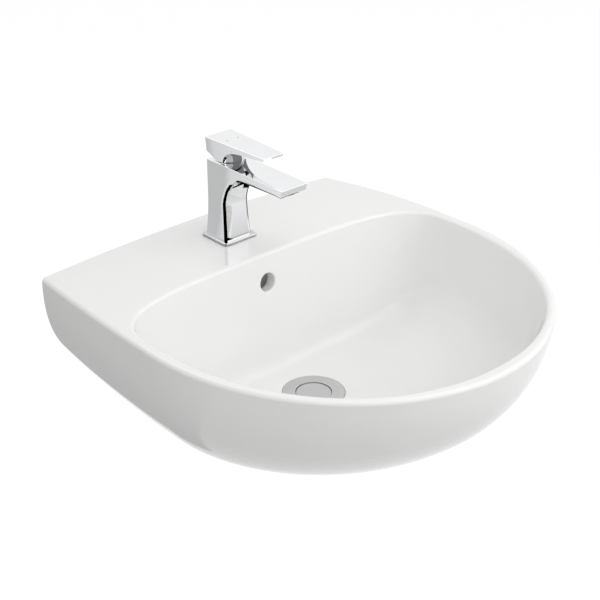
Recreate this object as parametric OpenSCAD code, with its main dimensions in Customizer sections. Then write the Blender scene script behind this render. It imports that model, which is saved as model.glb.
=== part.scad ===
// Wall-hung china washbasin with a single-lever mixer, a push waste and its wall fixings.
// +Z is up, the wall is the plane y = 0 and the basin stands out towards -Y.
// The origin is on the wall, midway between the two wall bolts.

/* [Basin outline] */
// Overall width of the basin
basin_w = 480; // [440:1:560]
// Overall depth, wall to front edge
basin_d = 491; // [470:1:540]
// Width of the basin where it meets the wall, at its widest height
wall_w = 440; // [400:1:450]
// Depth of the belly below the rim
basin_h = 160; // [158:1:200]
// Distance from the wall to the widest point
widest_y = 236; // [215:1:255]
// Width of the flat under the belly
belly_flat_w = 220; // [180:1:270]
// Length of the flat under the belly, forward of its widest point
belly_flat_d = 147; // [110:1:165]
// Rise of the middle of the wall edge above its corners
crown_h = 9; // [0:0.5:14]
// Length of deck over which that rise fades out
crown_len = 170; // [100:5:220]
// Rounding of the rim's edges
rim_r = 5; // [2:0.5:6]
// Thickness of the china skin
skin_t = 9.5; // [8:0.5:12]
// Thickness of the deck under the mixer
deck_t = 13; // [11:0.5:16]
// Thickness of the panel that lies against the wall
panel_t = 12; // [9:0.5:15]
// Depth of that panel below the rim
panel_h = 88; // [80:1:100]
// Width of the open space under the deck
under_w = 320; // [300:1:340]

/* [Bowl] */
// Width of the bowl at the top of its wall
bowl_w = 452; // [400:1:456]
// Distance from the wall to the bowl's widest point
bowl_y = 223; // [215:1:232]
// Distance from that point to the bowl's front wall
bowl_front = 252; // [235:1:254]
// Distance from that point to the bowl's back wall
bowl_back = 93; // [85:1:98]
// Depth of the bowl's floor at the waste
bowl_h = 148.5; // [140:0.5:149]

/* [Overflow and waste] */
// Distance from the wall to the waste
waste_y = 213; // [208:1:220]
// Bore of the overflow hole
overflow_d = 22; // [18:0.5:26]
// Depth of the overflow hole's centre below the rim
overflow_z = 36; // [32:1:45]
// Clear width of the overflow channel
channel_w = 36; // [28:1:40]
// Clear depth of the overflow channel
channel_d = 12; // [9:0.5:14]
// Bore of the waste hole in the china
waste_hole_d = 46; // [45.8:0.2:48]
// Height of the waste hole, floor to seal face
waste_hole_h = 39.5; // [36:0.5:44]
// Diameter of the boss round the waste hole
waste_boss_d = 80; // [76:1:90]
// Diameter of the waste flange
flange_d = 73.5; // [68:0.5:76]
// Thickness of the waste flange
flange_t = 2.5; // [2:0.1:3.5]
// Diameter of the push plug's cap
plug_d = 41.5; // [38:0.5:42]
// Gap round the cap
plug_gap = 0.55; // [0.4:0.05:0.9]
// Thickness of the cap
plug_t = 3; // [2:0.1:4]
// Lift of the plug when it is open
plug_lift = 9; // [6:0.5:12]
// Outer diameter of the waste's thread
tail_d = 41.9; // [41:0.1:42.5]
// Outer diameter of the plain spigot below the thread
spigot_d = 40; // [38:0.5:40]
// Bore of the tail
tail_bore = 34; // [32:0.5:36]
// Length of the waste fitting below the flange's top
waste_l = 86; // [80:1:100]
// Height of the back nut
back_nut_h = 9; // [7:0.5:12]
// Width across flats of the back nut
back_nut_af = 54; // [50:1:60]

/* [Mixer] */
// Diameter of the mixer hole in the deck
tap_hole_d = 35; // [33:0.5:36]
// Distance from the wall to the mixer hole
tap_y = 66; // [64:1:70]
// Width of the mixer's base plate
plate_w = 48; // [46:0.5:54]
// Depth of the base plate
plate_d = 44; // [42:0.5:50]
// Thickness of the base plate
plate_t = 3; // [2:0.1:4]
// Thickness of the seal under the base plate
seal_t = 0.8; // [0.5:0.1:1.5]
// Width of the mixer's body and spout
body_w = 38.4; // [36:0.2:42]
// Height of the spout's top above the deck
spout_z = 98; // [94:0.5:110]
// Reach from the mixer hole to the spout's tip
spout_reach = 113; // [95:1:125]
// Thickness of the spout
spout_t = 9.4; // [9:0.2:12]
// Radius of the cartridge cover
dome_r = 17.2; // [16.5:0.1:17.6]
// Clearance between the cover and the lever's pocket
dome_gap = 1.2; // [0.8:0.1:1.4]
// Height of the lever's top above the spout's top
lever_h = 26; // [24.5:0.5:30]
// Length of the lever, from the pivot to its front edge
lever_l = 78; // [60:1:90]
// Width of the lever's back edge
lever_w = 38; // [37.6:0.2:40]
// Width of the lever's front edge
lever_tip_w = 28.4; // [22:0.2:34]
// Thickness of the lever's blade at its front edge
blade_t = 3.6; // [3:0.1:5]
// Diameter of the mixing cartridge
cartridge_d = 25; // [24:0.5:26]
// Length of the aerator
aerator_l = 7; // [6:0.5:8]
// Diameter of the aerator
aerator_d = 20; // [18:0.5:22]

/* [Fixings] */
// Height of the rim above the wall bolts
rim_h = 62; // [50:1:66]
// Distance between the wall bolts
bolt_gap = 280; // [250:1:290]
// Diameter of a wall bolt's end in the wall
bolt_d = 10; // [8:1:12]
// Diameter of its threaded end in the room
thread_d = 9.2; // [7.2:0.1:11.2]
// Length of a wall bolt inside the wall
bolt_in = 60; // [40:1:90]
// Bore of a wall bolt's hole in the panel
bolt_hole_d = 16; // [15:0.5:18]
// Diameter of the shallow relief behind each bolt hole, room for the collar of the wall plug
relief_d = 24; // [22:1:28]
// Depth of that relief
relief_t = 1.6; // [1.4:0.2:2.4]
// Diameter of the mixer's fixing stud
stud_d = 6; // [5:0.5:7]
// Length of that stud below the deck's top
stud_l = 56; // [44:1:70]
// Bore of a supply inlet in the mixer's foot
inlet_d = 9; // [8:0.5:9.5]

/* [Hidden] */
eps = 0.01;

// Belly: shares of width and length against depth follow a superellipse.
side_n = 2.49;
side_m = 2.09;
nose_n = 2.47;
nose_m = 0.91;
front_exp = 1.96;
low_exp = 1.8;
front_l = basin_d - widest_y;
// The sides run back to the wall on long ellipses; this is the one at the rim.
side_len = widest_y / sqrt(1 - pow(wall_w / basin_w, 2));
belly_len = 90;
belly_y = widest_y - 10;
nf = 40;
ns = 7;
nb = 10;
waste_c = [0, -waste_y];

function mix(a, b, t) = a + (b - a) * t;
function clamp(v) = min(1, max(0, v));
function smooth(v) = let (c = clamp(v)) c * c * (3 - 2 * c);
function sup(v, n) = sign(v) * pow(abs(v), 2 / n);
function crown(p) = crown_h * pow(2 * p[0] / basin_w, 2) * pow(clamp(1 + p[1] / crown_len), 2);
function side_s(t) = pow(clamp(1 - pow(t, side_n)), 1 / side_m);
function nose_s(t) = pow(clamp(1 - pow(t, nose_n)), 1 / nose_m);

// One ring of the outer body: t is the share of the depth and e an inset in mm.
function half_w(y, yc, w, r) = w * sqrt(max(0, 1 - pow((y - yc) / r, 2)));
function body_ring(t, e) = let (
    w = mix(belly_flat_w / 2, basin_w / 2, side_s(t)) - e,
    f = mix(belly_flat_d, front_l, nose_s(t)) - e,
    yc = -mix(widest_y, belly_y, t),
    r = mix(belly_len, side_len, side_s(t)) - e,
    ye = min(0, yc + 0.95 * r),
    we = half_w(ye, yc, w, r),
    fe = mix(front_exp, low_exp, t)
) concat(
    [for (i = [0:nf]) let (a = 180 * i / nf) [w * sup(cos(a), fe), yc - f * sup(sin(a), fe)]],
    [for (i = [1:ns]) let (y = mix(yc, ye, i / ns)) [-half_w(y, yc, w, r), y]],
    [for (i = [1:nb - 1]) [mix(-we, we, i / nb), ye]],
    [for (i = [ns:-1:1]) let (y = mix(yc, ye, i / ns)) [half_w(y, yc, w, r), y]]
);
function lift_ring(ring, z) = [for (p = ring) [p[0], p[1], z - crown(p)]];
function shrink_ring(ring, k, z) = [for (p = ring) let (q = mix(waste_c, p, k)) [q[0], q[1], z - crown(q)]];

// Rings from the top centre to the bottom centre become one closed solid.
function loft_faces(m, n) = concat(
    [[for (j = [0:n - 1]) j]],
    [for (i = [0:m - 2], j = [0:n - 1]) [i * n + j, (i + 1) * n + j, i * n + (j + 1) % n]],
    [for (i = [0:m - 2], j = [0:n - 1]) [(i + 1) * n + j, (i + 1) * n + (j + 1) % n, i * n + (j + 1) % n]],
    [[for (j = [n - 1:-1:0]) (m - 1) * n + j]]
);
module loft(rings) {
    n = len(rings[0]);
    polyhedron([for (r = rings) each r], loft_faces(len(rings), n), convexity = 8);
}
// Depth shares of the rings, closer together where the belly curves most.
function shares(m) = [for (i = [1:m]) pow(sin(90 * i / m), 2 / side_n)];

module outer_body() {
    top = body_ring(0, rim_r);
    rows = concat(
        [for (k = [0.02, 0.3, 0.55, 0.75, 0.9]) shrink_ring(top, k, 0)],
        [for (a = [0:22.5:90]) lift_ring(body_ring(0, rim_r * (1 - sin(a))), -rim_r * (1 - cos(a)))],
        [for (t = shares(16)) if (t * basin_h > 1.6 * rim_r) lift_ring(body_ring(t, 0), -basin_h * t)],
        [lift_ring([for (p = body_ring(1, 0)) mix([0, -belly_y], p, 0.05)], -basin_h)]
    );
    loft(rows);
}

// Space under the deck: the outer body, one skin smaller.
module inner_body() {
    h = basin_h - 1.3 * skin_t;
    rows = concat(
        [[for (p = body_ring(0, skin_t)) let (q = mix(waste_c, p, 0.02)) [q[0], q[1], -deck_t]]],
        [lift_ring(body_ring(0, skin_t), -deck_t)],
        [for (t = shares(10)) if (t * h > deck_t + 4) lift_ring(body_ring(t, skin_t), -h * t)],
        [lift_ring([for (p = body_ring(1, skin_t)) mix([0, -belly_y], p, 0.05)], -h)]
    );
    loft(rows);
}

// Bowl: outline, then for each direction a wall, a soft corner and a floor that falls to the waste.
bowl_front_exp = 2.12;
bowl_back_exp = 3.6;
nq = 16;
back_corner_y = 17.5;
back_corner_z = 141;
side_corner = [0.89, 139];
nose_corner = [0.81, 136];
dish_r = flange_d / 2 + 1;
function bowl_outline(i) = let (a = 90 * i / nq, c = cos(a), s = sin(a), back = s > 0)
    [bowl_w / 2 * sup(c, back ? bowl_back_exp : bowl_front_exp),
     -bowl_y + (back ? bowl_back * sup(s, bowl_back_exp) : bowl_front * sup(s, bowl_front_exp))];
function corner_of(v) = let (
    u = v / norm(v),
    b = smooth(u[1] / 0.42),
    f = smooth(-u[1]),
    back_k = (waste_y - (bowl_y - bowl_back) - back_corner_y) / (waste_y - (bowl_y - bowl_back)),
    k0 = mix(side_corner[0], nose_corner[0], f),
    z0 = mix(side_corner[1], nose_corner[1], f)
) [mix(k0, back_k, b), -mix(z0, back_corner_z, b), b];
// One column of the bowl: e pushes it outwards and down, for the china's outer face.
function column(i, e) = let (
    v = bowl_outline(i) - waste_c,
    n = norm(v),
    u = v / n,
    w = bowl_outline(i - 0.3) - bowl_outline(i + 0.3),
    out = [-w[1], w[0]] / norm(w),
    k = corner_of(v),
    al = mix(0.5, 0.84, k[2]),
    be = mix(0.72, 0.5, k[2]),
    tp = [1, -rim_r],
    kp = [k[0], k[1]],
    cp = [dish_r / n, -bowl_h],
    a = mix(tp, kp, al),
    b = mix(kp, cp, be),
    path = concat(
        [for (s = [0:0.25:0.75]) mix(tp, a, s)],
        [for (s = [0:1 / 7:1.001]) a * pow(1 - s, 2) + kp * 2 * s * (1 - s) + b * s * s],
        [mix(b, cp, 0.5), cp]
    ),
    drop = [for (q = path) let (p = waste_c + u * n * q[0] + out * e) [p[0], p[1], q[1] - e]],
    edge = [for (g = [0:30:60]) let (p = waste_c + v + out * (rim_r * (1 - sin(g)) + e)) [p[0], p[1], -rim_r * (1 - cos(g))]],
    lip = waste_c + v + out * (rim_r + e)
) concat([[lip[0], lip[1], 6]], edge, drop);
module bowl_space(e) {
    cols = [for (i = [0:4 * nq - 1]) column(-i, e)];
    m = len(cols[0]);
    n = len(cols);
    loft([for (r = [0:m - 1]) [for (c = cols) c[r]]]);
}

// Heights below the rim, at the waste.
flange_top = -bowl_h + 0.5;
flange_low = flange_top - flange_t;
gasket_t = 0.8;
recess_z = flange_low - gasket_t;
seal_face = -bowl_h - waste_hole_h;
gallery_h = 14;
gallery_z = seal_face + 8;
channel_skin = 7;
wall_back = bowl_y - bowl_back;
channel_front = wall_back - skin_t;
channel_back = channel_front - channel_d;

module at_rim() translate([0, 0, rim_h]) children();
module at_tap() at_rim() translate([0, -tap_y, 0]) children();
module at_pivot() at_tap() translate([0, 0, spout_z]) children();
module at_waste() at_rim() translate([0, -waste_y, 0]) children();
// Bolt axis: +Z of the children runs from the wall into the room.
module at_bolt(side) translate([side * bolt_gap / 2, 0, 0]) rotate([90, 0, 0]) children();
module tube(r_out, r_in, z0, z1) translate([0, 0, z0]) difference() {
    cylinder(h = z1 - z0, r = r_out, $fn = 96);
    translate([0, 0, -1]) cylinder(h = z1 - z0 + 2, r = r_in, $fn = 96);
}
module hex(af, bore, z0, z1) translate([0, 0, z0]) difference() {
    cylinder(h = z1 - z0, d = af / cos(30), $fn = 6);
    translate([0, 0, -1]) cylinder(h = z1 - z0 + 2, d = bore, $fn = 96);
}
module box(x0, x1, y0, y1, z0, z1) translate([x0, y0, z0]) cube([x1 - x0, y1 - y0, z1 - z0]);
// Rectangle with round corners, centred.
module plate2d(w, d, r) {
    square([w - 2 * r, d], center = true);
    square([w, d - 2 * r], center = true);
    for (x = [-1, 1], y = [-1, 1]) translate([x * (w / 2 - r), y * (d / 2 - r)]) circle(r = r, $fn = 48);
}

module under_space() difference() {
    union() {
        intersection() {
            inner_body();
            box(-400, 400, -600, -panel_t, -400, 0);
        }
        translate([0, -(wall_back + back_corner_y + 5) / 2 + 10, -400])
            linear_extrude(400 - panel_h)
                plate2d(under_w, wall_back + back_corner_y + 25, 24);
    }
    bowl_space(skin_t);
}
module overflow_block() {
    w = channel_w / 2 + channel_skin;
    box(-w, w, -wall_back - 12, -channel_back + channel_skin, seal_face, -deck_t + 2);
    box(-w, w, -waste_y, -channel_back + channel_skin, seal_face, -bowl_h - 3);
    translate([0, -waste_y, seal_face]) cylinder(h = waste_hole_h - 3, d = waste_boss_d, $fn = 128);
}
module overflow_passage() {
    w = channel_w / 2;
    top = -overflow_z + overflow_d / 2 + 1.5;
    box(-w, w, -channel_front, -channel_back, gallery_z, top);
    box(-w, w, -waste_y, -channel_back, gallery_z, gallery_z + gallery_h);
    translate([0, -channel_back - 1, -overflow_z]) rotate([90, 0, 0]) cylinder(h = 60, d = overflow_d, $fn = 96);
}
module basin() color("#f6f6f4") difference() {
    at_rim() difference() {
        union() {
            difference() {
                outer_body();
                under_space();
            }
            overflow_block();
        }
        bowl_space(0);
        overflow_passage();
        translate([0, -waste_y, recess_z]) cylinder(h = 30, d = flange_d + 1.2, $fn = 160);
        translate([0, -waste_y, seal_face - 5]) cylinder(h = waste_hole_h + 10, d = waste_hole_d, $fn = 128);
        translate([0, -tap_y, -deck_t - 6]) cylinder(h = deck_t + 12, d = tap_hole_d, $fn = 128);
    }
    for (s = [-1, 1]) at_bolt(s) translate([0, 0, -5]) {
        cylinder(h = panel_t + 10, d = bolt_hole_d, $fn = 96);
        cylinder(h = 5 + relief_t, d = relief_d, $fn = 96);
    }
}

// Wall fixings
bush_t = 3;
bush_in = 4.5;
washer_t = 2;
nut_t = 8;
module wall_bolt(side) color("#b9bcc0") at_bolt(side) {
    translate([0, 0, 14 - bolt_in]) cylinder(h = bolt_in - 14 + 3, d = bolt_d, $fn = 96);
    cylinder(h = panel_t + bush_t + washer_t + nut_t + 7, d = thread_d, $fn = 96);
    translate([0, 0, -bolt_in]) cylinder(h = 14, d1 = 2, d2 = bolt_d, $fn = 96);
}
module bolt_bush(side) color("#e8e6de") at_bolt(side) {
    tube(bolt_hole_d / 2 - 0.2, thread_d / 2 + 0.2, panel_t - bush_in, panel_t + bush_t);
    tube(bolt_hole_d / 2 + 6, thread_d / 2 + 0.2, panel_t, panel_t + bush_t);
}
module bolt_washer(side) color("#c3c6c9") at_bolt(side)
    tube(bolt_hole_d / 2 + 4, thread_d / 2 + 0.3, panel_t + bush_t, panel_t + bush_t + washer_t);
module bolt_nut(side) color("#aeb2b6") at_bolt(side)
    hex(1.7 * bolt_d, thread_d + 0.1, panel_t + bush_t + washer_t, panel_t + bush_t + washer_t + nut_t);

// Mixer body: a side outline and a front outline, each drawn once and crossed.
foot_z = seal_t + plate_t;
col_back = 18.5;
col_waist = 16;
foot_front = 16.8;
neck_front = 12.8;
arch_run = 46;
shank_d = 32;
function bez3(a, b, c, d, t) = a * pow(1 - t, 3) + b * 3 * t * pow(1 - t, 2) + c * 3 * t * t * (1 - t) + d * pow(t, 3);
function bez2(a, b, c, t) = a * pow(1 - t, 2) + b * 2 * t * (1 - t) + c * t * t;
spout_low = spout_z - spout_t;
neck_z = foot_z + 0.45 * (spout_z - foot_z);
arch_top = spout_low - 2.4;
side_outline = concat(
    [for (t = [0:0.1:1]) bez2([col_back, foot_z], [col_waist, foot_z + 34], [col_waist, spout_z], t)],
    [[-spout_reach, spout_z]],
    [[-spout_reach + 2.5, spout_low]],
    [for (t = [0:1 / 14:1.001]) bez3([-arch_run, arch_top], [-26, arch_top], [-12.4, arch_top - 27.2], [-neck_front, neck_z], t)],
    [for (t = [0.2:0.2:1]) bez2([-neck_front, neck_z], [-13.9, foot_z + 23], [-foot_front, foot_z], t)]
);
function waist(z) = body_w / 2 + 0.9 * pow(clamp(1 - (z - foot_z) / 30), 2) - 0.7 * pow(sin(180 * clamp((z - foot_z) / (spout_low - foot_z))), 2);
front_zs = [for (i = [0:20]) mix(foot_z, spout_low, i / 20)];
front_outline = concat(
    [for (z = front_zs) [waist(z), z]],
    [[body_w / 2, spout_z + 1], [-body_w / 2, spout_z + 1]],
    [for (i = [20:-1:0]) [-waist(front_zs[i]), front_zs[i]]]
);
cart_bore = cartridge_d + 2;
cart_len = 36;
way_w = 14;
way_z0 = spout_low + 1.8;
way_z1 = spout_z - 3.2;
aerator_y = -spout_reach + aerator_d / 2 + 4;
inlet_x = 8;
inlet_y = 4;
stud_y = -8;
cover_skirt_r = cartridge_d / 2 + 1.7;
cover_skirt_h = 2.5;
module tap_shape() intersection() {
    rotate([90, 0, 90]) linear_extrude(body_w + 8, center = true) polygon(side_outline);
    rotate([90, 0, 0]) linear_extrude(600, center = true) polygon(front_outline);
}
module tap_body() color("#d9dcdf") at_tap() difference() {
    tap_shape();
    translate([0, 0, spout_z - cart_len]) cylinder(h = cart_len + 5, d = cart_bore, $fn = 128);
    translate([0, 0, spout_z - cover_skirt_h - 0.3]) cylinder(h = 10, r = cover_skirt_r + 0.1, $fn = 128);
    box(-way_w / 2, way_w / 2, aerator_y, 0, way_z0, way_z1);
    translate([0, aerator_y, spout_low - 5]) cylinder(h = way_z1 - spout_low + 5, d = aerator_d + 0.4, $fn = 96);
    for (x = [-1, 1]) {
        translate([x * inlet_x, inlet_y, foot_z - 1]) cylinder(h = 13, d = inlet_d, $fn = 96);
        translate([x * 5, 2.5, foot_z + 8]) cylinder(h = spout_z - cart_len - foot_z - 7, d = 5, $fn = 64);
    }
    translate([0, stud_y, foot_z - 1]) cylinder(h = 13, d = stud_d + 0.1, $fn = 64);
}
module tap_base_seal() color("#3a3a3c") at_tap() translate([0, 1, 0]) linear_extrude(seal_t) difference() {
    plate2d(plate_w - 2, plate_d - 2, 2);
    translate([0, -1]) circle(d = shank_d, $fn = 96);
}
module tap_base_plate() color("#d4d7da") at_tap() difference() {
    translate([0, 1, seal_t]) hull() {
        linear_extrude(plate_t - 0.9) plate2d(plate_w, plate_d, 1.5);
        linear_extrude(plate_t) plate2d(plate_w - 1.6, plate_d - 1.6, 1);
    }
    translate([0, 2, -5]) cylinder(h = 20, d = 26.6, $fn = 96);
}

// Cartridge: heights are from the pivot of the lever.
spindle_r = 9;
fixed_z = -20;
disc_z = fixed_z + 3;
tilt = 12.5;
arm = 12.4;
disc_shift = arm * sin(tilt);
pin_r = 1.5;
module cartridge_housing() color("#f0efe9") at_pivot() difference() {
    translate([0, 0, -cart_len]) cylinder(h = cart_len + 4, d = cartridge_d, $fn = 128);
    translate([0, 0, fixed_z]) cylinder(h = 40, r = spindle_r + 0.1, $fn = 128);
    for (x = [-5, 5]) translate([x, 2.5, -cart_len - 1]) cylinder(h = cart_len, d = 5, $fn = 64);
    translate([0, -5, fixed_z - 8]) cylinder(h = 10, d = 5, $fn = 64);
    translate([0, -5, fixed_z - 5.5]) rotate([90, 0, 0]) cylinder(h = 20, d = 5, $fn = 64);
}
module fixed_disc() color("#dfe3ea") at_pivot() translate([0, 0, fixed_z]) difference() {
    cylinder(h = 3, r = spindle_r - 0.1, $fn = 96);
    for (p = [[-5, 2.5], [5, 2.5], [0, -5]]) translate([p[0], p[1], -1]) cylinder(h = 5, d = 4, $fn = 48);
}
module moving_disc() color("#cfd6e2") at_pivot() translate([0, disc_shift, disc_z + 0.05]) difference() {
    union() {
        cylinder(h = 3.4, r = 6, $fn = 96);
        cylinder(h = 5.6, r = 5.2, $fn = 96);
    }
    box(-2.6, 2.6, -2.7, 2.7, 2.6, 8);
}
module spindle() color("#b3502e") at_pivot() difference() {
    translate([0, 0, -10.8]) cylinder(h = 18.8, r = spindle_r, $fn = 128);
    box(-3.6, 3.6, -6, 6, -20, 20);
    translate([-20, 0, 0]) rotate([0, 90, 0]) cylinder(h = 40, r = pin_r, $fn = 64);
}
module pivot_pin() color("#a9adb1") at_pivot() translate([-8.4, 0, 0]) rotate([0, 90, 0]) cylinder(h = 16.8, r = pin_r, $fn = 64);
stem_top = 23.6;
module lever_stem() color("#c9a86a") at_pivot() rotate([tilt, 0, 0]) difference() {
    union() {
        box(-3.45, 3.45, -3.5, 3.5, -7, stem_top);
        box(-2.4, 2.4, -2.2, 2.2, -arm - 0.9, -6);
    }
    translate([-20, 0, 0]) rotate([0, 90, 0]) cylinder(h = 40, r = pin_r + 0.05, $fn = 64);
}
cover_in = dome_r - 1.8;
module cartridge_cover() color("#cfd2d6") at_pivot() rotate_extrude($fn = 128) difference() {
    union() {
        intersection() {
            circle(r = dome_r, $fn = 128);
            square([40, 40]);
        }
        translate([0, -cover_skirt_h]) square([cover_skirt_r, cover_skirt_h + 1]);
    }
    intersection() {
        circle(r = cover_in, $fn = 128);
        translate([0, 5.2]) square([40, 40]);
    }
    translate([0, -10]) square([cartridge_d / 2 + 0.1, 14]);
    square([spindle_r + 0.6, 12]);
    square([8.8, 40]);
    translate([-60, -30]) square([60, 60]);
}

// Lever: side outline crossed with its plan, hollowed round the cover.
lever_back = 19;
lever_outline = concat(
    [[lever_back, lever_h], [lever_back - 2, 10], [0, 2], [-10, 1.6]],
    [for (t = [0.1:0.1:1]) bez3([-10, 1.6], [-12, 14], [-22, 18.5], [-46, lever_h - blade_t - 2.6], t)],
    [[-lever_l + 1, lever_h - blade_t], [-lever_l, lever_h]]
);
screw_z = 21.2;
screw_r = 2.5;
function lever_half(y) = mix(lever_w, lever_tip_w, (lever_back - y) / (lever_back + lever_l)) / 2;
mark_y = -8;
module mark_at(x, z) translate([x, mark_y, z]) cylinder(h = 3, r = 0.9, $fn = 48);
module lever() color("#dde0e3") at_pivot() difference() {
    intersection() {
        rotate([90, 0, 90]) linear_extrude(80, center = true) polygon(lever_outline);
        translate([0, 0, -5]) linear_extrude(60) polygon([
            [lever_w / 2, lever_back], [-lever_w / 2, lever_back],
            [-lever_tip_w / 2, -lever_l], [lever_tip_w / 2, -lever_l]
        ]);
    }
    sphere(r = dome_r + dome_gap, $fn = 128);
    rotate([tilt, 0, 0]) box(-3.5, 3.5, -3.55, 3.55, 10, stem_top + 0.1);
    translate([0, 40, screw_z]) rotate([90, 0, 0]) cylinder(h = 42, r = screw_r + 0.05, $fn = 64);
    for (x = [-1, 1]) mark_at(x * 8, lever_h - 0.5);
}
module lever_screw() color("#8f9397") at_pivot() translate([0, 8.5, screw_z]) rotate([90, 0, 0]) difference() {
    cylinder(h = 8.9, r = screw_r, $fn = 64);
    translate([0, 0, -1]) cylinder(h = 4, d = 2.9, $fn = 6);
}
module lever_mark(side, tint) color(tint) at_pivot() intersection() {
    mark_at(side * 8, lever_h - 0.5);
    box(-40, 40, -60, 40, 0, lever_h + 0.05);
}

// Aerator
module aerator_ring() color("#d0d3d6") at_tap() translate([0, aerator_y, 0])
    tube(aerator_d / 2, aerator_d / 2 - 1.8, way_z1 - 0.6 - aerator_l, way_z1 - 0.6);
module aerator_mesh() color("#e9e9e4") at_tap() translate([0, aerator_y, way_z1 - aerator_l + 0.6]) difference() {
    cylinder(h = 2.4, r = aerator_d / 2 - 1.85, $fn = 96);
    for (x = [-2:2], y = [-2:2]) if (x * x + y * y < 7) translate([x * 2.7, y * 2.7, -1]) cylinder(h = 5, r = 0.9, $fn = 16);
}

// Fixing under the deck
clamp_t = 3;
clip_t = 2;
clamp_z = -deck_t - 0.25;
module horseshoe(r, z0, z1) translate([0, 0, z0]) linear_extrude(z1 - z0) difference() {
    circle(r = r, $fn = 128);
    translate([-14.5, -3]) square([29, 60]);
    translate([0, stud_y]) circle(d = stud_d + 0.4, $fn = 64);
}
module horseshoe_gasket() color("#2f2f31") at_tap() horseshoe(tap_hole_d / 2 + 6.5, clamp_z - clamp_t, clamp_z);
module horseshoe_washer() color("#b7babd") at_tap()
    horseshoe(tap_hole_d / 2 + 5.5, clamp_z - clamp_t - clip_t, clamp_z - clamp_t);
module stud_nut() color("#c9a24e") at_tap() translate([0, stud_y, 0])
    hex(10, stud_d + 0.1, clamp_z - clamp_t - clip_t - 16, clamp_z - clamp_t - clip_t);
module tap_stud() color("#b4b7ba") at_tap() translate([0, stud_y, -stud_l]) cylinder(h = stud_l + foot_z + 11, d = stud_d, $fn = 64);

// Waste fitting
plug_r = plug_d / 2;
seat_z = flange_top - plug_t - 2;
guide_top = flange_top - 18;
guide_low = guide_top - 10;
hub_r = waste_hole_d / 2 - 0.3;
tail_low = flange_top - waste_l;
thread_low = seal_face - 6.5 - back_nut_h - 3;
module waste_body() color("#c6c8ca") at_waste() difference() {
    union() {
        rotate_extrude($fn = 160) polygon([
            [plug_r + plug_gap, flange_top], [flange_d / 2 - 1.2, flange_top],
            [flange_d / 2, flange_top - 1], [flange_d / 2, flange_low],
            [hub_r, flange_low], [hub_r, flange_low - 7.5], [tail_d / 2, flange_low - 7.5],
            [tail_d / 2, thread_low], [spigot_d / 2, thread_low],
            [spigot_d / 2, tail_low], [tail_bore / 2, tail_low],
            [tail_bore / 2, seat_z], [plug_r + plug_gap, seat_z]
        ]);
        translate([0, 0, guide_low]) cylinder(h = 10, r = 7, $fn = 96);
        for (a = [30:120:270]) rotate([0, 0, a]) box(5, tail_bore / 2 + 0.5, -1.25, 1.25, guide_low, guide_top);
    }
    translate([0, 0, guide_low - 1]) cylinder(h = 14, r = 4.05, $fn = 96);
    for (a = [90, 270]) rotate([0, 0, a]) box(12, 40, -9, 9, gallery_z + 1, gallery_z + gallery_h - 2);
}
module flange_gasket() color("#4a4a4c") at_waste() tube(flange_d / 2 - 1.5, waste_hole_d / 2 + 0.3, recess_z, flange_low);
module plug_cap() color("#c9cbcd") at_waste() {
    rotate_extrude($fn = 160) polygon([
        [0, flange_top], [plug_r - 0.5, flange_top], [plug_r, flange_top - 0.5],
        [plug_r, flange_top - plug_t + 0.3], [plug_r - 0.3, flange_top - plug_t], [0, flange_top - plug_t]
    ]);
}
module plug_seal() color("#38383a") at_waste() tube(plug_r - 0.6, 9, seat_z + 0.3, flange_top - plug_t);
collar_top = guide_low - plug_lift - 0.4;
module plug_stem() color("#b0b3b6") at_waste() {
    translate([0, 0, collar_top - 1]) cylinder(h = flange_top - plug_t - collar_top + 1, r = 4, $fn = 96);
    translate([0, 0, flange_top - plug_t - 5]) cylinder(h = 5, r = 7, $fn = 96);
    translate([0, 0, collar_top - 5]) cylinder(h = 5, r = 5.5, $fn = 96);
}
module lower_seal() color("#303032") at_waste() tube(waste_boss_d / 2 - 8, tail_d / 2 + 0.2, seal_face - 5, seal_face);
module slip_washer() color("#d8d8d2") at_waste() tube(waste_boss_d / 2 - 9, tail_d / 2 + 0.2, seal_face - 6.5, seal_face - 5);
module back_nut() color("#bfc2c5") at_waste()
    hex(back_nut_af, tail_d + 0.1, seal_face - 6.5 - back_nut_h, seal_face - 6.5);

basin();
wall_bolt(-1);  // wall_bolt_left
wall_bolt(1);  // wall_bolt_right
bolt_bush(-1);  // bolt_bush_left
bolt_bush(1);  // bolt_bush_right
bolt_washer(-1);  // bolt_washer_left
bolt_washer(1);  // bolt_washer_right
bolt_nut(-1);  // bolt_nut_left
bolt_nut(1);  // bolt_nut_right
tap_base_seal();
tap_base_plate();
tap_body();
cartridge_housing();
fixed_disc();
moving_disc();
spindle();
pivot_pin();
lever_stem();
cartridge_cover();
lever();
lever_screw();
lever_mark(-1, "#b84a42");  // hot_mark
lever_mark(1, "#3f5f9e");  // cold_mark
aerator_ring();
aerator_mesh();
tap_stud();
horseshoe_gasket();
horseshoe_washer();
stud_nut();
waste_body();
flange_gasket();
plug_cap();
plug_seal();
plug_stem();
lower_seal();
slip_washer();
back_nut();
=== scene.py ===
"""Wall-hung china washbasin with a single-lever mixer, a push waste and its fixings.

Shapes are worked out in millimetres and set down in metres, in the frame's own coordinates:
+Z up, the wall at y = 0 and the basin towards -Y.
"""

import math
from bisect import bisect_right

import bmesh
import bpy
from bpy.props import FloatProperty, FloatVectorProperty, PointerProperty
from bpy.types import Operator, Panel, PropertyGroup
from mathutils import Matrix, Vector


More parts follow.
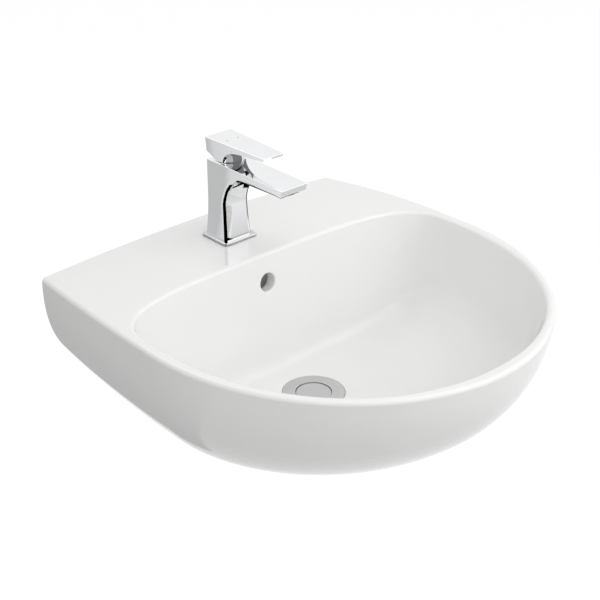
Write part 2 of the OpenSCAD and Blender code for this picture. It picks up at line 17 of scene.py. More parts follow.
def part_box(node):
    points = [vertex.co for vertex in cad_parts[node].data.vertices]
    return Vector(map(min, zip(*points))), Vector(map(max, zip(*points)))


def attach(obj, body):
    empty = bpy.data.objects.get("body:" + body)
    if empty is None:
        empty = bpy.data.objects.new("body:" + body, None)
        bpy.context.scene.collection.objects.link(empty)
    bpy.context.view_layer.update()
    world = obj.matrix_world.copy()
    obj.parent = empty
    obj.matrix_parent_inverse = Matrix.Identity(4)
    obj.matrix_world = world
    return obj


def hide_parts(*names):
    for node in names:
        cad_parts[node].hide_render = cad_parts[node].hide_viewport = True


bl_info = {
    "name": "Wall-hung washbasin",
    "version": (1, 0, 0),
    "blender": (4, 5, 0),
    "location": "View3D > Sidebar > Washbasin",
    "description": "Builds a wall-hung china washbasin with its mixer, waste and fixings",
    "category": "Add Mesh",
}

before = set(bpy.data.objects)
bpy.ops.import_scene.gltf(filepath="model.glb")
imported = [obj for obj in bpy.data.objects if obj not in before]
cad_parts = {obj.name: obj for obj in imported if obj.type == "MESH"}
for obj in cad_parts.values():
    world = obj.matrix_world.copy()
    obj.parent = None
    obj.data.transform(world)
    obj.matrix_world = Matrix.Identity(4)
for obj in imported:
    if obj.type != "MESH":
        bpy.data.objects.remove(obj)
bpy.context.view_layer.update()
MM = 0.001
X, Y, Z = range(3)
UP = (0, 0, 1)
WHITE = (1, 1, 1, 1)


def low(node, axis):
    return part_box(node)[0][axis] / MM


def high(node, axis):
    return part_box(node)[1][axis] / MM


def middle(node, axis):
    return (low(node, axis) + high(node, axis)) / 2


def span(node, axis):
    return high(node, axis) - low(node, axis)


# Places in the frame, in millimetres.
RIM = high("basin", Z)
TAP = (0, middle("cartridge_housing", Y), RIM)
PIVOT = (0, TAP[1], high("tap_body", Z))
WASTE = (0, middle("waste_body", Y), RIM)
BOLT_X = middle("wall_bolt_right", X)


def heights(node):
    """A node's lowest and highest point, from the rim."""
    return low(node, Z) - RIM, high(node, Z) - RIM


# ---------------------------------------------------------------- sizes and colours


class ChinaSizes(PropertyGroup):
    width: FloatProperty(
        name="Width", description="Overall width of the basin",
        default=span("basin", X) * MM, min=0.3, max=0.8, unit="LENGTH",
    )
    depth: FloatProperty(
        name="Depth", description="Wall to front edge",
        default=-low("basin", Y) * MM, min=0.3, max=0.7, unit="LENGTH",
    )
    wall_width: FloatProperty(
        name="Width at the wall", description="Width of the deck's back edge",
        default=0.44, min=0.3, max=0.7, unit="LENGTH",
    )
    belly_drop: FloatProperty(
        name="Belly", description="Depth of the belly below the rim",
        default=0.16, min=0.12, max=0.22, unit="LENGTH",
    )
    rim_rounding: FloatProperty(
        name="Rim rounding", description="Rounding of the rim's edges",
        default=0.005, min=0.002, max=0.007, unit="LENGTH",
    )
    skin: FloatProperty(
        name="Skin", description="Thickness of the china",
        default=0.0095, min=0.007, max=0.014, unit="LENGTH",
    )
    bowl_width: FloatProperty(
        name="Bowl width", description="Width of the bowl at the top of its wall",
        default=0.452, min=0.3, max=0.46, unit="LENGTH",
    )
    bowl_drop: FloatProperty(
        name="Bowl depth", description="Depth of the bowl's floor at the waste",
        default=0.1485, min=0.1, max=0.15, unit="LENGTH",
    )
    overflow_bore: FloatProperty(
        name="Overflow", description="Bore of the overflow hole",
        default=0.022, min=0.016, max=0.026, unit="LENGTH",
    )
    glaze: FloatVectorProperty(
        name="Glaze", description="Colour of the white glaze",
        default=(0.88, 0.88, 0.872), min=0, max=1, subtype="COLOR",
    )


class MixerSizes(PropertyGroup):
    body_width: FloatProperty(
        name="Body width", description="Width of the body and the spout",
        default=0.0384, min=0.03, max=0.05, unit="LENGTH",
    )
    edge: FloatProperty(
        name="Edge rounding", description="Rounding of the crisp edges",
        default=0.0005, min=0.0002, max=0.0006, unit="LENGTH",
    )
    soft_edge: FloatProperty(
        name="Column rounding", description="Rounding of the column's two front edges",
        default=0.0052, min=0.001, max=0.007, unit="LENGTH",
    )
    lever_width: FloatProperty(
        name="Lever width", description="Width of the lever's back edge",
        default=0.038, min=0.03, max=0.045, unit="LENGTH",
    )
    lever_tip: FloatProperty(
        name="Lever tip", description="Width of the lever's front edge",
        default=0.0284, min=0.02, max=0.04, unit="LENGTH",
    )
    chrome: FloatVectorProperty(
        name="Chrome", description="Colour of the chrome plating",
        default=(0.86, 0.865, 0.875), min=0, max=1, subtype="COLOR",
    )
    brass: FloatVectorProperty(
        name="Brass", description="Colour of the bare brass inside",
        default=(0.80, 0.60, 0.30), min=0, max=1, subtype="COLOR",
    )


class WasteSizes(PropertyGroup):
    flange: FloatProperty(
        name="Flange", description="Diameter of the flange",
        default=span("waste_body", X) * MM, min=0.06, max=0.08, unit="LENGTH",
    )
    cap: FloatProperty(
        name="Cap", description="Diameter of the push cap",
        default=span("plug_cap", X) * MM, min=0.035, max=0.045, unit="LENGTH",
    )
    steel: FloatVectorProperty(
        name="Steel", description="Colour of the satin steel",
        default=(0.62, 0.62, 0.625), min=0, max=1, subtype="COLOR",
    )
    rubber: FloatVectorProperty(
        name="Rubber", description="Colour of the seals",
        default=(0.035, 0.035, 0.037), min=0, max=1, subtype="COLOR",
    )


class StudioSizes(PropertyGroup):
    lamps: FloatProperty(
        name="Lamps", description="Level of all the lamps together",
        default=1.0, min=0, max=4,
    )
    room: FloatProperty(
        name="Room light", description="Level of the light from all round",
        default=0.54, min=0, max=2,
    )
    # The grey of the painted shade that the mixer's left side mirrors.
    flags: FloatProperty(
        name="Flag tone", description="Tone of the grey flag that the mixer's left side mirrors",
        default=0.58, min=0, max=0.8,
    )
    floor_drop: FloatProperty(
        name="Floor drop", description="Height of the rim above the floor; low, so that the underside shows",
        default=1.12, min=0.3, max=1.5, unit="LENGTH",
    )


# ---------------------------------------------------------------- shaping


def mix(a, b, t):
    return a + (b - a) * t


def clamp(v):
    return min(1.0, max(0.0, v))


def smooth(v):
    c = clamp(v)
    return c * c * (3 - 2 * c)


def cosd(degrees):
    return math.cos(math.radians(degrees))


def sind(degrees):
    return math.sin(math.radians(degrees))


def bez2(a, b, c, t):
    a, b, c = map(Vector, (a, b, c))
    return a * (1 - t) ** 2 + b * 2 * t * (1 - t) + c * t * t


def bez3(a, b, c, d, t):
    a, b, c, d = map(Vector, (a, b, c, d))
    return a * (1 - t) ** 3 + b * 3 * t * (1 - t) ** 2 + c * 3 * t * t * (1 - t) + d * t ** 3


def grown(bm, ring, points):
    """Extrudes a closed ring of vertices out to the points; the new ring keeps the order."""
    count = len(ring)
    edges = [bm.edges.get((ring[i], ring[(i + 1) % count])) for i in range(count)]
    place = {v: i for i, v in enumerate(ring)}
    fresh = [None] * count
    for v in bmesh.ops.extrude_edge_only(bm, edges=edges)["geom"]:
        if isinstance(v, bmesh.types.BMVert):
            for e in v.link_edges:
                old = e.other_vert(v)
                if old in place:
                    fresh[place[old]] = v
    for v, p in zip(fresh, points):
        v.co = p
    return fresh


def fill_ends(bm):
    ends = bmesh.ops.edgeloop_fill(bm, edges=[e for e in bm.edges if e.is_boundary])["faces"]
    bm.normal_update()
    bmesh.ops.triangulate(bm, faces=ends, ngon_method="EAR_CLIP")
    bmesh.ops.recalc_face_normals(bm, faces=bm.faces[:])


def skinned(rings):
    """A closed shell through rings of equal count, with a flat face at each end."""
    bm = bmesh.new()
    ring = bmesh.ops.create_circle(bm, cap_ends=False, segments=len(rings[0]), radius=1)["verts"]
    for v, p in zip(ring, rings[0]):
        v.co = p
    for points in rings[1:]:
        ring = grown(bm, ring, points)
    fill_ends(bm)
    return bm


def turned(profile, steps=96):
    """Spins (radius, height) points round the upright axis; an end on the axis closes the shape."""
    bm = bmesh.new()
    verts = [bm.verts.new((r, 0, z)) for r, z in profile]
    pairs = list(zip(verts, verts[1:]))
    if profile[0][0] > 0 and profile[-1][0] > 0:
        pairs.append((verts[-1], verts[0]))
    edges = [bm.edges.new(p) for p in pairs]
    bmesh.ops.spin(
        bm, geom=verts + edges, cent=(0, 0, 0), axis=(0, 0, 1), dvec=(0, 0, 0),
        angle=math.tau, steps=steps, use_merge=True, use_normal_flip=False, use_duplicate=False,
    )
    bmesh.ops.remove_doubles(bm, verts=bm.verts[:], dist=1e-5)
    bmesh.ops.recalc_face_normals(bm, faces=bm.faces[:])
    return bm


def rod(radius, z0, z1, steps=64):
    return turned([(0, z0), (radius, z0), (radius, z1), (0, z1)], steps)


def block(x0, x1, y0, y1, z0, z1):
    bm = bmesh.new()
    bmesh.ops.create_cube(bm, size=1)
    bmesh.ops.scale(bm, vec=(x1 - x0, y1 - y0, z1 - z0), verts=bm.verts)
    bmesh.ops.translate(bm, vec=((x0 + x1) / 2, (y0 + y1) / 2, (z0 + z1) / 2), verts=bm.verts)
    return bm


def moved(bm, x=0, y=0, z=0):
    bmesh.ops.translate(bm, vec=(x, y, z), verts=bm.verts)
    return bm


def rolled(bm, degrees, axis):
    turn = Matrix.Rotation(math.radians(degrees), 3, axis)
    bmesh.ops.rotate(bm, cent=(0, 0, 0), matrix=turn, verts=bm.verts)
    return bm


def linked(obj):
    bpy.context.scene.collection.objects.link(obj)
    return obj


def placed(bm, name):
    """A new object of a shape, in the scene. The shape is used up."""
    mesh = bpy.data.meshes.new(name)
    bm.to_mesh(mesh)
    bm.free()
    return linked(bpy.data.objects.new(name, mesh))


def worked(bm, tool, how="DIFFERENCE"):
    """bm cut by, joined with or kept inside tool, as a new bmesh. Both are closed, and both are used up."""
    objects = [placed(bm, "work"), placed(tool, "work")]
    step = objects[0].modifiers.new("work", "BOOLEAN")
    step.operation, step.solver, step.object = how, "MANIFOLD", objects[1]
    out = bmesh.new()
    out.from_object(objects[0], bpy.context.evaluated_depsgraph_get())
    for obj in objects:
        mesh = obj.data
        bpy.data.objects.remove(obj)
        bpy.data.meshes.remove(mesh)
    if not out.faces:
        raise RuntimeError("a cut left nothing: one of its shapes isn't closed")
    return out


def bored(bm, tools):
    """bm cut by each tool in turn."""
    for tool in tools:
        bm = worked(bm, tool)
    return bm


def eased(points, steps=4):
    """Rounds the corners of a closed outline of (a, b, radius) points; more values are carried along.

    A rounding takes up less than half of either side, and a corner that is nearly straight stays."""
    share, straight = 0.45, math.radians(85)
    out = []
    count = len(points)
    for i, (a, b, radius, *more) in enumerate(points):
        here = Vector((a, b))
        before = Vector(points[i - 1][:2]) - here
        after = Vector(points[(i + 1) % count][:2]) - here
        sharp = radius <= 0 or before.length < 1e-6 or after.length < 1e-6
        half = 0 if sharp else before.angle(after) / 2
        if sharp or half > straight:
            out.append((a, b, *more))
            continue
        run = min(radius / math.tan(half), share * before.length, share * after.length)
        start, stop = here + before.normalized() * run, here + after.normalized() * run
        for k in range(steps + 1):
            p = bez2(start, here, stop, k / steps)
            out.append((p.x, p.y, *more))
    return out


def inward_of(points):
    """For each point of a closed outline, the step that insets it by one, held back at sharp corners."""
    count = len(points)
    area = sum(points[i - 1][0] * points[i][1] - points[i][0] * points[i - 1][1] for i in range(count))
    side = 1 if area > 0 else -1
    steps = []
    for i in range(count):
        here = Vector(points[i][:2])
        back = (here - Vector(points[i - 1][:2])).normalized()
        on = (Vector(points[(i + 1) % count][:2]) - here).normalized()
        lean = Vector((-back.y - on.y, back.x + on.x)) * side
        if lean.length < 1e-6:
            lean = Vector((-back.y, back.x)) * side
        lean.normalize()
        steps.append(lean / max(0.6, lean.dot(Vector((-back.y, back.x)) * side)))
    return steps


def slab(outline, half, foot=None, steps=6):
    """A slab drawn from the side: outline points are (y, z, ease), and ease rounds both long edges there.

    foot is the height of a flat underside, whose points are only inset along it."""
    lean = inward_of(outline)
    if foot is not None:
        for i, (y, z, _) in enumerate(outline):
            if abs(z - foot) < 1e-6:
                lean[i] = Vector((-1 if y > 0 else 1, 0))
    turns = [90 * k / steps for k in range(steps, -1, -1)]
    rings = []
    for side, angles in ((1, turns), (-1, turns[::-1])):
        for angle in angles:
            c, s = cosd(angle), sind(angle)
            rings.append([
                Vector((side * (half - e * (1 - s)), y + n.x * e * (1 - c), z + n.y * e * (1 - c)))
                for (y, z, e), n in zip(outline, lean)
            ])
    return skinned(rings)


def round_box(w, d, r, steps=6):
    """Points round a rectangle with round corners, centred."""
    out = []
    for q, (sx, sy) in enumerate(((1, 1), (-1, 1), (-1, -1), (1, -1))):
        for k in range(steps + 1):
            a = math.radians(90 * q + 90 * k / steps)
            out.append((sx * (w / 2 - r) + r * math.cos(a), sy * (d / 2 - r) + r * math.sin(a)))
    return out


def hex_nut(across, bore, z0, z1):
    """A hexagon nut with turned chamfers on its corners and a countersunk bore.

    The chamfers fall at 30 degrees from a circle that is just smaller than the flats."""
    top = across / math.sqrt(3)
    bm = bmesh.new()
    bmesh.ops.create_cone(bm, cap_ends=True, segments=6, radius1=top, radius2=top, depth=z1 - z0)
    moved(bm, z=(z0 + z1) / 2)
    face = across / 2 * 0.96
    fall = (top - face) * math.tan(math.radians(30))
    far = top + 0.1
    corners = turned([(0, z0), (face, z0), (far, z0 + fall), (far, z1 - fall), (face, z1), (0, z1)])
    r, flare = bore / 2, bore / 2 + 1.5
    hole = [(0, z0 - 1), (flare, z0 - 1), (r, z0 + 0.5), (r, z1 - 0.5), (flare, z1 + 1), (0, z1 + 1)]
    return worked(worked(bm, corners, "INTERSECT"), turned(hole, 64))


def threaded(radius, z0, z1, pitch, depth, tip=None, steps=48):
    """A rod with a screw thread and chamfered ends; tip is (length, radius) of a cone at its low end."""
    rows_per_turn, end_r, slope = 6, radius - depth - 0.3, 0.8
    rows = []
    count = round((z1 - z0) / pitch * rows_per_turn)
    for k in range(count + 1):
        z = mix(z0, z1, k / count)
        core = radius - depth
        most = end_r + (z1 - z) * slope
        if tip is None:
            most = min(most, end_r + (z - z0) * slope)
        shrink = 1 if tip is None else mix(tip[1] / radius, 1, clamp((z - z0) / tip[0]))
        ring = []
        for i in range(steps):
            crest = 1 - clamp(1.3 * abs(2 * ((z / pitch - i / steps) % 1) - 1) - 0.15)
            r = min(core + depth * crest, max(most, 0.5)) * shrink
            a = math.tau * i / steps
            ring.append(Vector((r * math.cos(a), r * math.sin(a), z)))
        rows.append(ring)
    return skinned(rows)


def ringed(outer, inner, z0, z1, edge, steps=96):
    """A plain ring with its four edges broken."""
    o, i, e = outer, inner, edge
    outside = [(o - e, z0), (o, z0 + e), (o, z1 - e), (o - e, z1)]
    return turned([(i + e, z0), *outside, (i + e, z1), (i, z1 - e), (i, z0 + e)], steps)


def piece(bm, name, at, coat, body, node, angle=32, weighted=True):
    """Sets a shape down in the frame as a finished piece that rides on a body and stands for a node."""
    bmesh.ops.scale(bm, vec=(MM, MM, MM), verts=bm.verts)
    bmesh.ops.translate(bm, vec=Vector(at) * MM, verts=bm.verts)
    obj = placed(bm, name)
    mesh = obj.data
    mesh.materials.append(coat)
    mesh.polygons.foreach_set("use_smooth", [True] * len(mesh.polygons))
    mesh.set_sharp_from_angle(angle=math.radians(angle))
    if weighted:
        even = obj.modifiers.new("Even normals", "WEIGHTED_NORMAL")
        even.keep_sharp = True
    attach(obj, body)
    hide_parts(node)


# ---------------------------------------------------------------- finishes


class Nodes:
    """Adds nodes to a tree step by step; every call returns the socket it made.

    A socket is set by its name with _ for a space, or by i and its number."""

    def __init__(self, tree):
        self.tree = tree

    def add(self, kind, out=0, settings=(), **sockets):
        n = self.tree.nodes.new("ShaderNode" + kind)
        for key, value in settings:
            setattr(n, key, value)
        for key, value in sockets.items():
            by_number = key[0] == "i" and key[1:].isdigit()
            socket = n.inputs[int(key[1:]) if by_number else key.replace("_", " ")]
            if isinstance(value, bpy.types.NodeSocket):
                self.tree.links.new(value, socket)
            else:
                socket.default_value = value
        return n.outputs[out]

    def ramp(self, value, low, high, to_low, to_high):
        return self.add("MapRange", Value=value, From_Min=low, From_Max=high, To_Min=to_low, To_Max=to_high)

    def mixed(self, factor, a, b):
        return self.add("Mix", 2, [("data_type", "RGBA")], i0=factor, i6=a, i7=b)

    def maths(self, how, a, b=0.0):
        return self.add("Math", settings=[("operation", how)], i0=a, i1=b)

    def seen(self):
        """One for a ray that reaches the camera, straight or by way of a mirror or glass."""
        rays = self.tree.nodes.new("ShaderNodeLightPath").outputs
        indirect = self.maths("MAXIMUM", rays["Is Glossy Ray"], rays["Is Transmission Ray"])
        return self.maths("MAXIMUM", rays["Is Camera Ray"], indirect)


class Finish(Nodes):
    """A material built step by step."""

    made = {}

    def __init__(self, name, **sockets):
        self.material = bpy.data.materials.new(name)
        self.material.use_nodes = True
        super().__init__(self.material.node_tree)
        self.shader = self.tree.nodes["Principled BSDF"]
        for key, value in sockets.items():
            self.shader.inputs[key.replace("_", " ")].default_value = value
        self.where = self.tree.nodes.new("ShaderNodeTexCoord").outputs["Object"]

    def noise(self, scale, detail=3.0, roughness=0.5):
        return self.add("TexNoise", Vector=self.where, Scale=scale, Detail=detail, Roughness=roughness)

    def waves(self, kind, where, **sockets):
        """RINGS round the upright axis, or BANDS across it."""
        settings = [("wave_type", kind), (kind.lower() + "_direction", "Z")]
        return self.add("TexWave", 1, settings, Vector=where, **sockets)

    def bump(self, height, strength, distance, on=None):
        more = {"Normal": on} if on else {}
        return self.add("Bump", Height=height, Strength=strength, Distance=distance, **more)

    def centred(self, at):
        return self.add("Mapping", Vector=self.where, Location=[-v * MM for v in at])

    def put(self, name, value):
        self.tree.links.new(value, self.shader.inputs[name])

    def tint(self, pattern, dark, light, start=0.3, stop=0.7):
        """Colours the surface from dark to light along a pattern."""
        self.put("Base Color", self.mixed(self.ramp(pattern, start, stop, 0, 1), dark, light))

    def polish(self, pattern, bright, dull, start=0.3, stop=0.7):
        """Sets the roughness from bright to dull along a pattern."""
        self.put("Roughness", self.ramp(pattern, start, stop, bright, dull))

    def emboss(self, height, strength, distance, on=None):
        self.put("Normal", self.bump(height, strength, distance, on))

    def surface(self, shader):
        """Gives the material another shader in place of its own."""
        self.tree.links.new(shader, self.tree.nodes["Material Output"].inputs["Surface"])


def rgb(colour, times=1.0):
    return (*[min(1.0, c * times) for c in colour], 1.0)


def kept(make):
    """Each finish is made once and shared."""
    def get(*args):
        key = (make.__name__, *args)
        if key not in Finish.made:
            Finish.made[key] = make(*args)
        return Finish.made[key]
    return get


@kept
def glazed_china():
    glaze = bpy.context.scene.china_sizes.glaze
    f = Finish("glazed china", IOR=1.52)
    f.tint(f.noise(9.0, 4.0), rgb(glaze, 0.985), rgb(glaze, 1.01))
    f.polish(f.noise(35.0, 2.0), 0.07, 0.12)
    ripple = f.bump(f.noise(60.0, 1.0), 0.035, 0.0006)
    f.emboss(f.noise(420.0, 2.0), 0.02, 0.0001, ripple)
    return f.material


@kept
def chrome(tone=1.0):
    """Polished plating; a tone below one darkens it as painted shade, which the plate under the column takes.
    """
    plating = bpy.context.scene.mixer_sizes.chrome
    f = Finish("chrome plating" if tone == 1 else "chrome plating with painted shade", Metallic=1.0)
    f.tint(f.noise(25.0, 3.0), rgb(plating, 0.98 * tone), rgb(plating, 1.01 * tone), 0.35, 0.65)
    f.polish(f.noise(90.0, 5.0, 0.6), 0.035, 0.075, 0.4, 0.75)
    f.emboss(f.noise(45.0, 1.0), 0.01, 0.0004)
    return f.material


@kept
def satin_steel():
    """Turned and brushed round the waste's own axis."""
    steel = bpy.context.scene.waste_sizes.steel
    f = Finish("satin steel", Metallic=1.0)
    rings = f.waves("RINGS", f.centred(WASTE), Scale=520.0, Distortion=1.2, Detail=3.0)
    grain = f.noise(700.0, 4.0)
    f.tint(grain, rgb(steel, 0.89), rgb(steel, 0.98))
    f.polish(grain, 0.30, 0.38)
    f.emboss(rings, 0.12, 0.00004)
    return f.material


@kept
def plated_steel():
    f = Finish("zinc plated steel", Metallic=1.0)
    f.tint(f.noise(160.0, 4.0), (0.50, 0.52, 0.55, 1), (0.66, 0.66, 0.65, 1), 0.35, 0.65)
    f.polish(f.noise(420.0, 3.0), 0.26, 0.46)
    f.emboss(f.noise(900.0, 3.0), 0.1, 0.00006)
    return f.material


@kept
def brass():
    colour = bpy.context.scene.mixer_sizes.brass
    f = Finish("machined brass", Metallic=1.0)
    f.tint(f.noise(70.0, 4.0), rgb(colour, 0.86), rgb(colour, 1.05), 0.35, 0.65)
    f.polish(f.noise(300.0, 3.0), 0.22, 0.36)
    f.emboss(f.waves("BANDS", f.where, Scale=900.0, Distortion=0.6), 0.15, 0.00004)
    return f.material


@kept
def rubber():
    black = bpy.context.scene.waste_sizes.rubber
    f = Finish("black rubber", IOR=1.5)
    bloom = f.noise(120.0, 4.0)
    f.tint(bloom, rgb(black), rgb(black, 2.2), 0.4, 0.7)
    f.polish(bloom, 0.55, 0.75)
    f.emboss(f.noise(1500.0, 2.0), 0.2, 0.00008)
    return f.material


@kept
def moulded(name, colour, gloss):
    """Moulded plastic; colour is a tuple and gloss its roughness."""
    f = Finish(name, IOR=1.49)
    f.tint(f.noise(50.0, 3.0), rgb(colour, 0.95), rgb(colour, 1.03))
    f.polish(f.noise(500.0, 3.0), gloss * 0.85, gloss * 1.15)
    f.emboss(f.noise(1100.0, 2.0), 0.12, 0.00006)
    return f.material


@kept
def enamel(name, colour):
    f = Finish(name, IOR=1.5, Coat_Weight=0.4, Coat_Roughness=0.08)
    f.tint(f.noise(900.0, 2.0), rgb(colour, 0.9), rgb(colour, 1.1))
    f.polish(f.noise(700.0, 2.0), 0.2, 0.32)
    return f.material


def nylon():
    return moulded("natural nylon", (0.80, 0.78, 0.72), 0.5)


def acetal():
    return moulded("white acetal", (0.84, 0.84, 0.80), 0.3)


def alumina():
    return moulded("lapped alumina", (0.78, 0.80, 0.84), 0.22)


def coated(material, *nodes):
    """CAD nodes that keep their own shape take a finish."""
    for node in nodes:
        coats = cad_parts[node].data.materials
        coats.clear()
        coats.append(material)


# ---------------------------------------------------------------- china


def sup(v, n):
    return math.copysign(abs(v) ** (2 / n), v)


class China:
    """The basin's own outlines, in millimetres from the wall and below the rim."""

    # The outside: its widest place, the flat under the belly, and the exponents of its curves.
    widest_y, flat_w, flat_d = 236, 220, 147
    side_n, side_m, nose_n, nose_m = 2.49, 2.09, 2.47, 0.91
    front_exp, low_exp, belly_len = 1.96, 1.8, 90
    # The top falls by crown_h to its sides at the wall, and less and less as far as crown_len from it.
    crown_h, crown_len = 9, 170
    # Deck, panel against the wall, and the space under the deck.
    deck_t, panel_t, panel_h, under_w = 13, 12, 88, 320
    # The bowl's outline from its middle, and the knees between wall and floor. A knee is (run, depth)
    # at the back, and (share of the way out from the waste, depth) at the sides and the nose.
    bowl_y, bowl_front, bowl_back = 223, 252, 93
    bowl_front_exp, bowl_back_exp = 2.12, 3.6
    back_corner = (17.5, 141)
    side_corner, nose_corner = (0.89, 139), (0.81, 136)
    seal_face = low("basin", Z) - RIM
    overflow_z, channel_w, channel_d = 36, 36, 12

    def __init__(self):
        s = bpy.context.scene.china_sizes
        self.w, self.d, self.wall_w = s.width / MM, s.depth / MM, s.wall_width / MM
        self.h, self.rim_r, self.skin = s.belly_drop / MM, s.rim_rounding / MM, s.skin / MM
        self.bowl_w, self.bowl_h = s.bowl_width / MM, s.bowl_drop / MM
        self.overflow_d = s.overflow_bore / MM
        self.front_l = self.d - self.widest_y
        self.side_len = self.widest_y / math.sqrt(1 - (self.wall_w / self.w) ** 2)
        self.belly_y = self.widest_y - 10
        self.waste = Vector((0, WASTE[1]))
        self.dish_r = span("waste_body", X) / 2 + 1
        # The outline's parameter for each direction from the waste, every eighth of a degree.
        table = []
        for k in range(2880):
            degrees = 360 * k / 2880
            p = self.bowl_outline(degrees) - self.waste
            table.append((math.atan2(p.y, p.x) % math.tau, degrees))
        table.sort()
        self.angles, self.params = zip(*table)

    def crown(self, x, y):
        """How far the top has fallen at a place."""
        return self.crown_h * (2 * x / self.w) ** 2 * clamp(1 + y / self.crown_len) ** 2

    def body_ring(self, t, inset, front=192, side=26, back=44):
        """One ring round the outer body at a share t of its depth: the front, a side, the back, a side."""
        ss = clamp(1 - t ** self.side_n) ** (1 / self.side_m)
        ns = clamp(1 - t ** self.nose_n) ** (1 / self.nose_m)
        w = mix(self.flat_w / 2, self.w / 2, ss) - inset
        f = mix(self.flat_d, self.front_l, ns) - inset
        yc = -mix(self.widest_y, self.belly_y, t)
        r = mix(self.belly_len, self.side_len, ss) - inset
        ye = min(0.0, yc + 0.95 * r)
        half = lambda y: w * math.sqrt(max(0.0, 1 - ((y - yc) / r) ** 2))
        fe = mix(self.front_exp, self.low_exp, t)
        ring = []
        for i in range(front + 1):
            a = math.radians(180 * i / front)
            ring.append((w * sup(math.cos(a), fe), yc - f * sup(math.sin(a), fe)))
        ring += [(-half(mix(yc, ye, i / side)), mix(yc, ye, i / side)) for i in range(1, side + 1)]
        ring += [(mix(-half(ye), half(ye), i / back), ye) for i in range(1, back)]
        ring += [(half(mix(yc, ye, i / side)), mix(yc, ye, i / side)) for i in range(side, 0, -1)]
        return ring

    def lifted(self, ring, z):
        return [Vector((x, y, z - self.crown(x, y))) for x, y in ring]

    def bowl_outline(self, degrees):
        c, s = cosd(degrees), sind(degrees)
        e = self.bowl_back_exp if s > 0 else self.bowl_front_exp
        reach = self.bowl_back if s > 0 else self.bowl_front
        return Vector((self.bowl_w / 2 * sup(c, e), -self.bowl_y + reach * sup(s, e)))

    def bowl_param(self, direction):
        """The outline's parameter in a direction from the waste."""
        a = math.atan2(direction.y, direction.x) % math.tau
        i = bisect_right(self.angles, a) % len(self.angles)
        a0, a1 = self.angles[i - 1], self.angles[i]
        p0, p1 = self.params[i - 1], self.params[i]
        between, gap = (a1 - a0) % math.tau, (p1 - p0 + 180) % 360 - 180
        return p0 + gap * ((a - a0) % math.tau) / between if between > 1e-9 else p0

    def column(self, degrees, push, fine=True):
        """Points down the bowl in one direction, from its lip to the waste; push is the china outside it.

        The wall runs straight to p, bends round the knee to q, and the floor runs straight to the foot."""
        v = self.bowl_outline(degrees) - self.waste
        n = v.length
        u = v / n
        w = self.bowl_outline(degrees + 0.9) - self.bowl_outline(degrees - 0.9)
        out = Vector((w.y, -w.x)).normalized()
        b, f = smooth(u.y / 0.42), smooth(-u.y)
        back_gap = -self.waste.y - (self.bowl_y - self.bowl_back)
        back_k = (back_gap - self.back_corner[0]) / back_gap
        k = mix(mix(self.side_corner[0], self.nose_corner[0], f), back_k, b)
        z = -mix(mix(self.side_corner[1], self.nose_corner[1], f), self.back_corner[1], b)
        al, be = mix(0.5, 0.84, b), mix(0.72, 0.5, b)
        top, knee, foot = Vector((1, -self.rim_r)), Vector((k, z)), Vector((self.dish_r / n, -self.bowl_h))
        p, q = top.lerp(knee, al), knee.lerp(foot, be)
        lean = math.atan2((1 - k) * n, -z)
        path = []
        arc, wall, bend, floor = (9, 9, 18, 12) if fine else (3, 3, 8, 3)
        # The lip's quarter round ends in line with the wall below it.
        for i in range(arc):
            g = (math.pi / 2 - lean) * i / arc
            path.append((n + self.rim_r * (1 - math.sin(g)), self.rim_r * (math.cos(g) - 1), 1 - i / arc))
        start = Vector((1 + self.rim_r * (1 - math.cos(lean)) / n, -self.rim_r * (1 - math.sin(lean))))
        below = [start.lerp(p, i / wall) for i in range(wall)]
        below += [bez2(p, knee, q, i / bend) for i in range(bend)]
        below += [q.lerp(foot, i / floor) for i in range(floor + 1)]
        path += [(m.x * n, m.y, 0) for m in below]
        points = []
        for r, height, on_deck in path:
            if r > n:
                flat = self.waste + v + out * (r - n + push)
            else:
                flat = self.waste + u * r + out * push
            drop = self.crown(flat.x, flat.y) * on_deck if push == 0 else 0
            points.append(Vector((flat.x, flat.y, height - drop - push)))
        return points

    def solid(self):
        """Bowl, rim, deck and belly as one closed skin, still full inside."""
        top = self.body_ring(0, self.rim_r)
        params = [self.bowl_param(Vector(p) - self.waste) for p in top]
        columns = [self.column(a, 0) for a in params]
        rows = [[c[i] for c in columns] for i in range(len(columns[0]) - 1, -1, -1)]
        lip = [p.xy for p in rows[-1]]
        for k in range(1, 20):
            ring = [a.lerp(Vector(b), smooth(k / 20) * 0.4 + k / 20 * 0.6) for a, b in zip(lip, top)]
            rows.append(self.lifted(ring, 0))
        for k in range(0, 9):
            a, r = 90 * k / 8, self.rim_r
            rows.append(self.lifted(self.body_ring(0, r * (1 - sind(a))), -r * (1 - cosd(a))))
        last = self.rim_r / self.h
        for i in range(1, 49):
            t = sind(90 * i / 48) ** (2 / self.side_n)
            if t > last + 0.008:
                rows.append(self.lifted(self.body_ring(t, 0), -self.h * t))
        for share in (0.5, 0.1):
            ring = [(x * share, mix(-self.belly_y, y, share)) for x, y in self.body_ring(1, 0)]
            rows.append(self.lifted(ring, -self.h))
        return skinned(rows)

    def bowl_core(self, count, push):
        """The bowl's inside as a closed shape, grown outwards by push."""
        columns = [self.column(360 * k / count, push, False) for k in range(count)]
        rows = [[Vector((c[0].x, c[0].y, 6)) for c in columns]]
        rows += [[c[i] for c in columns] for i in range(len(columns[0]))]
        return skinned(rows)

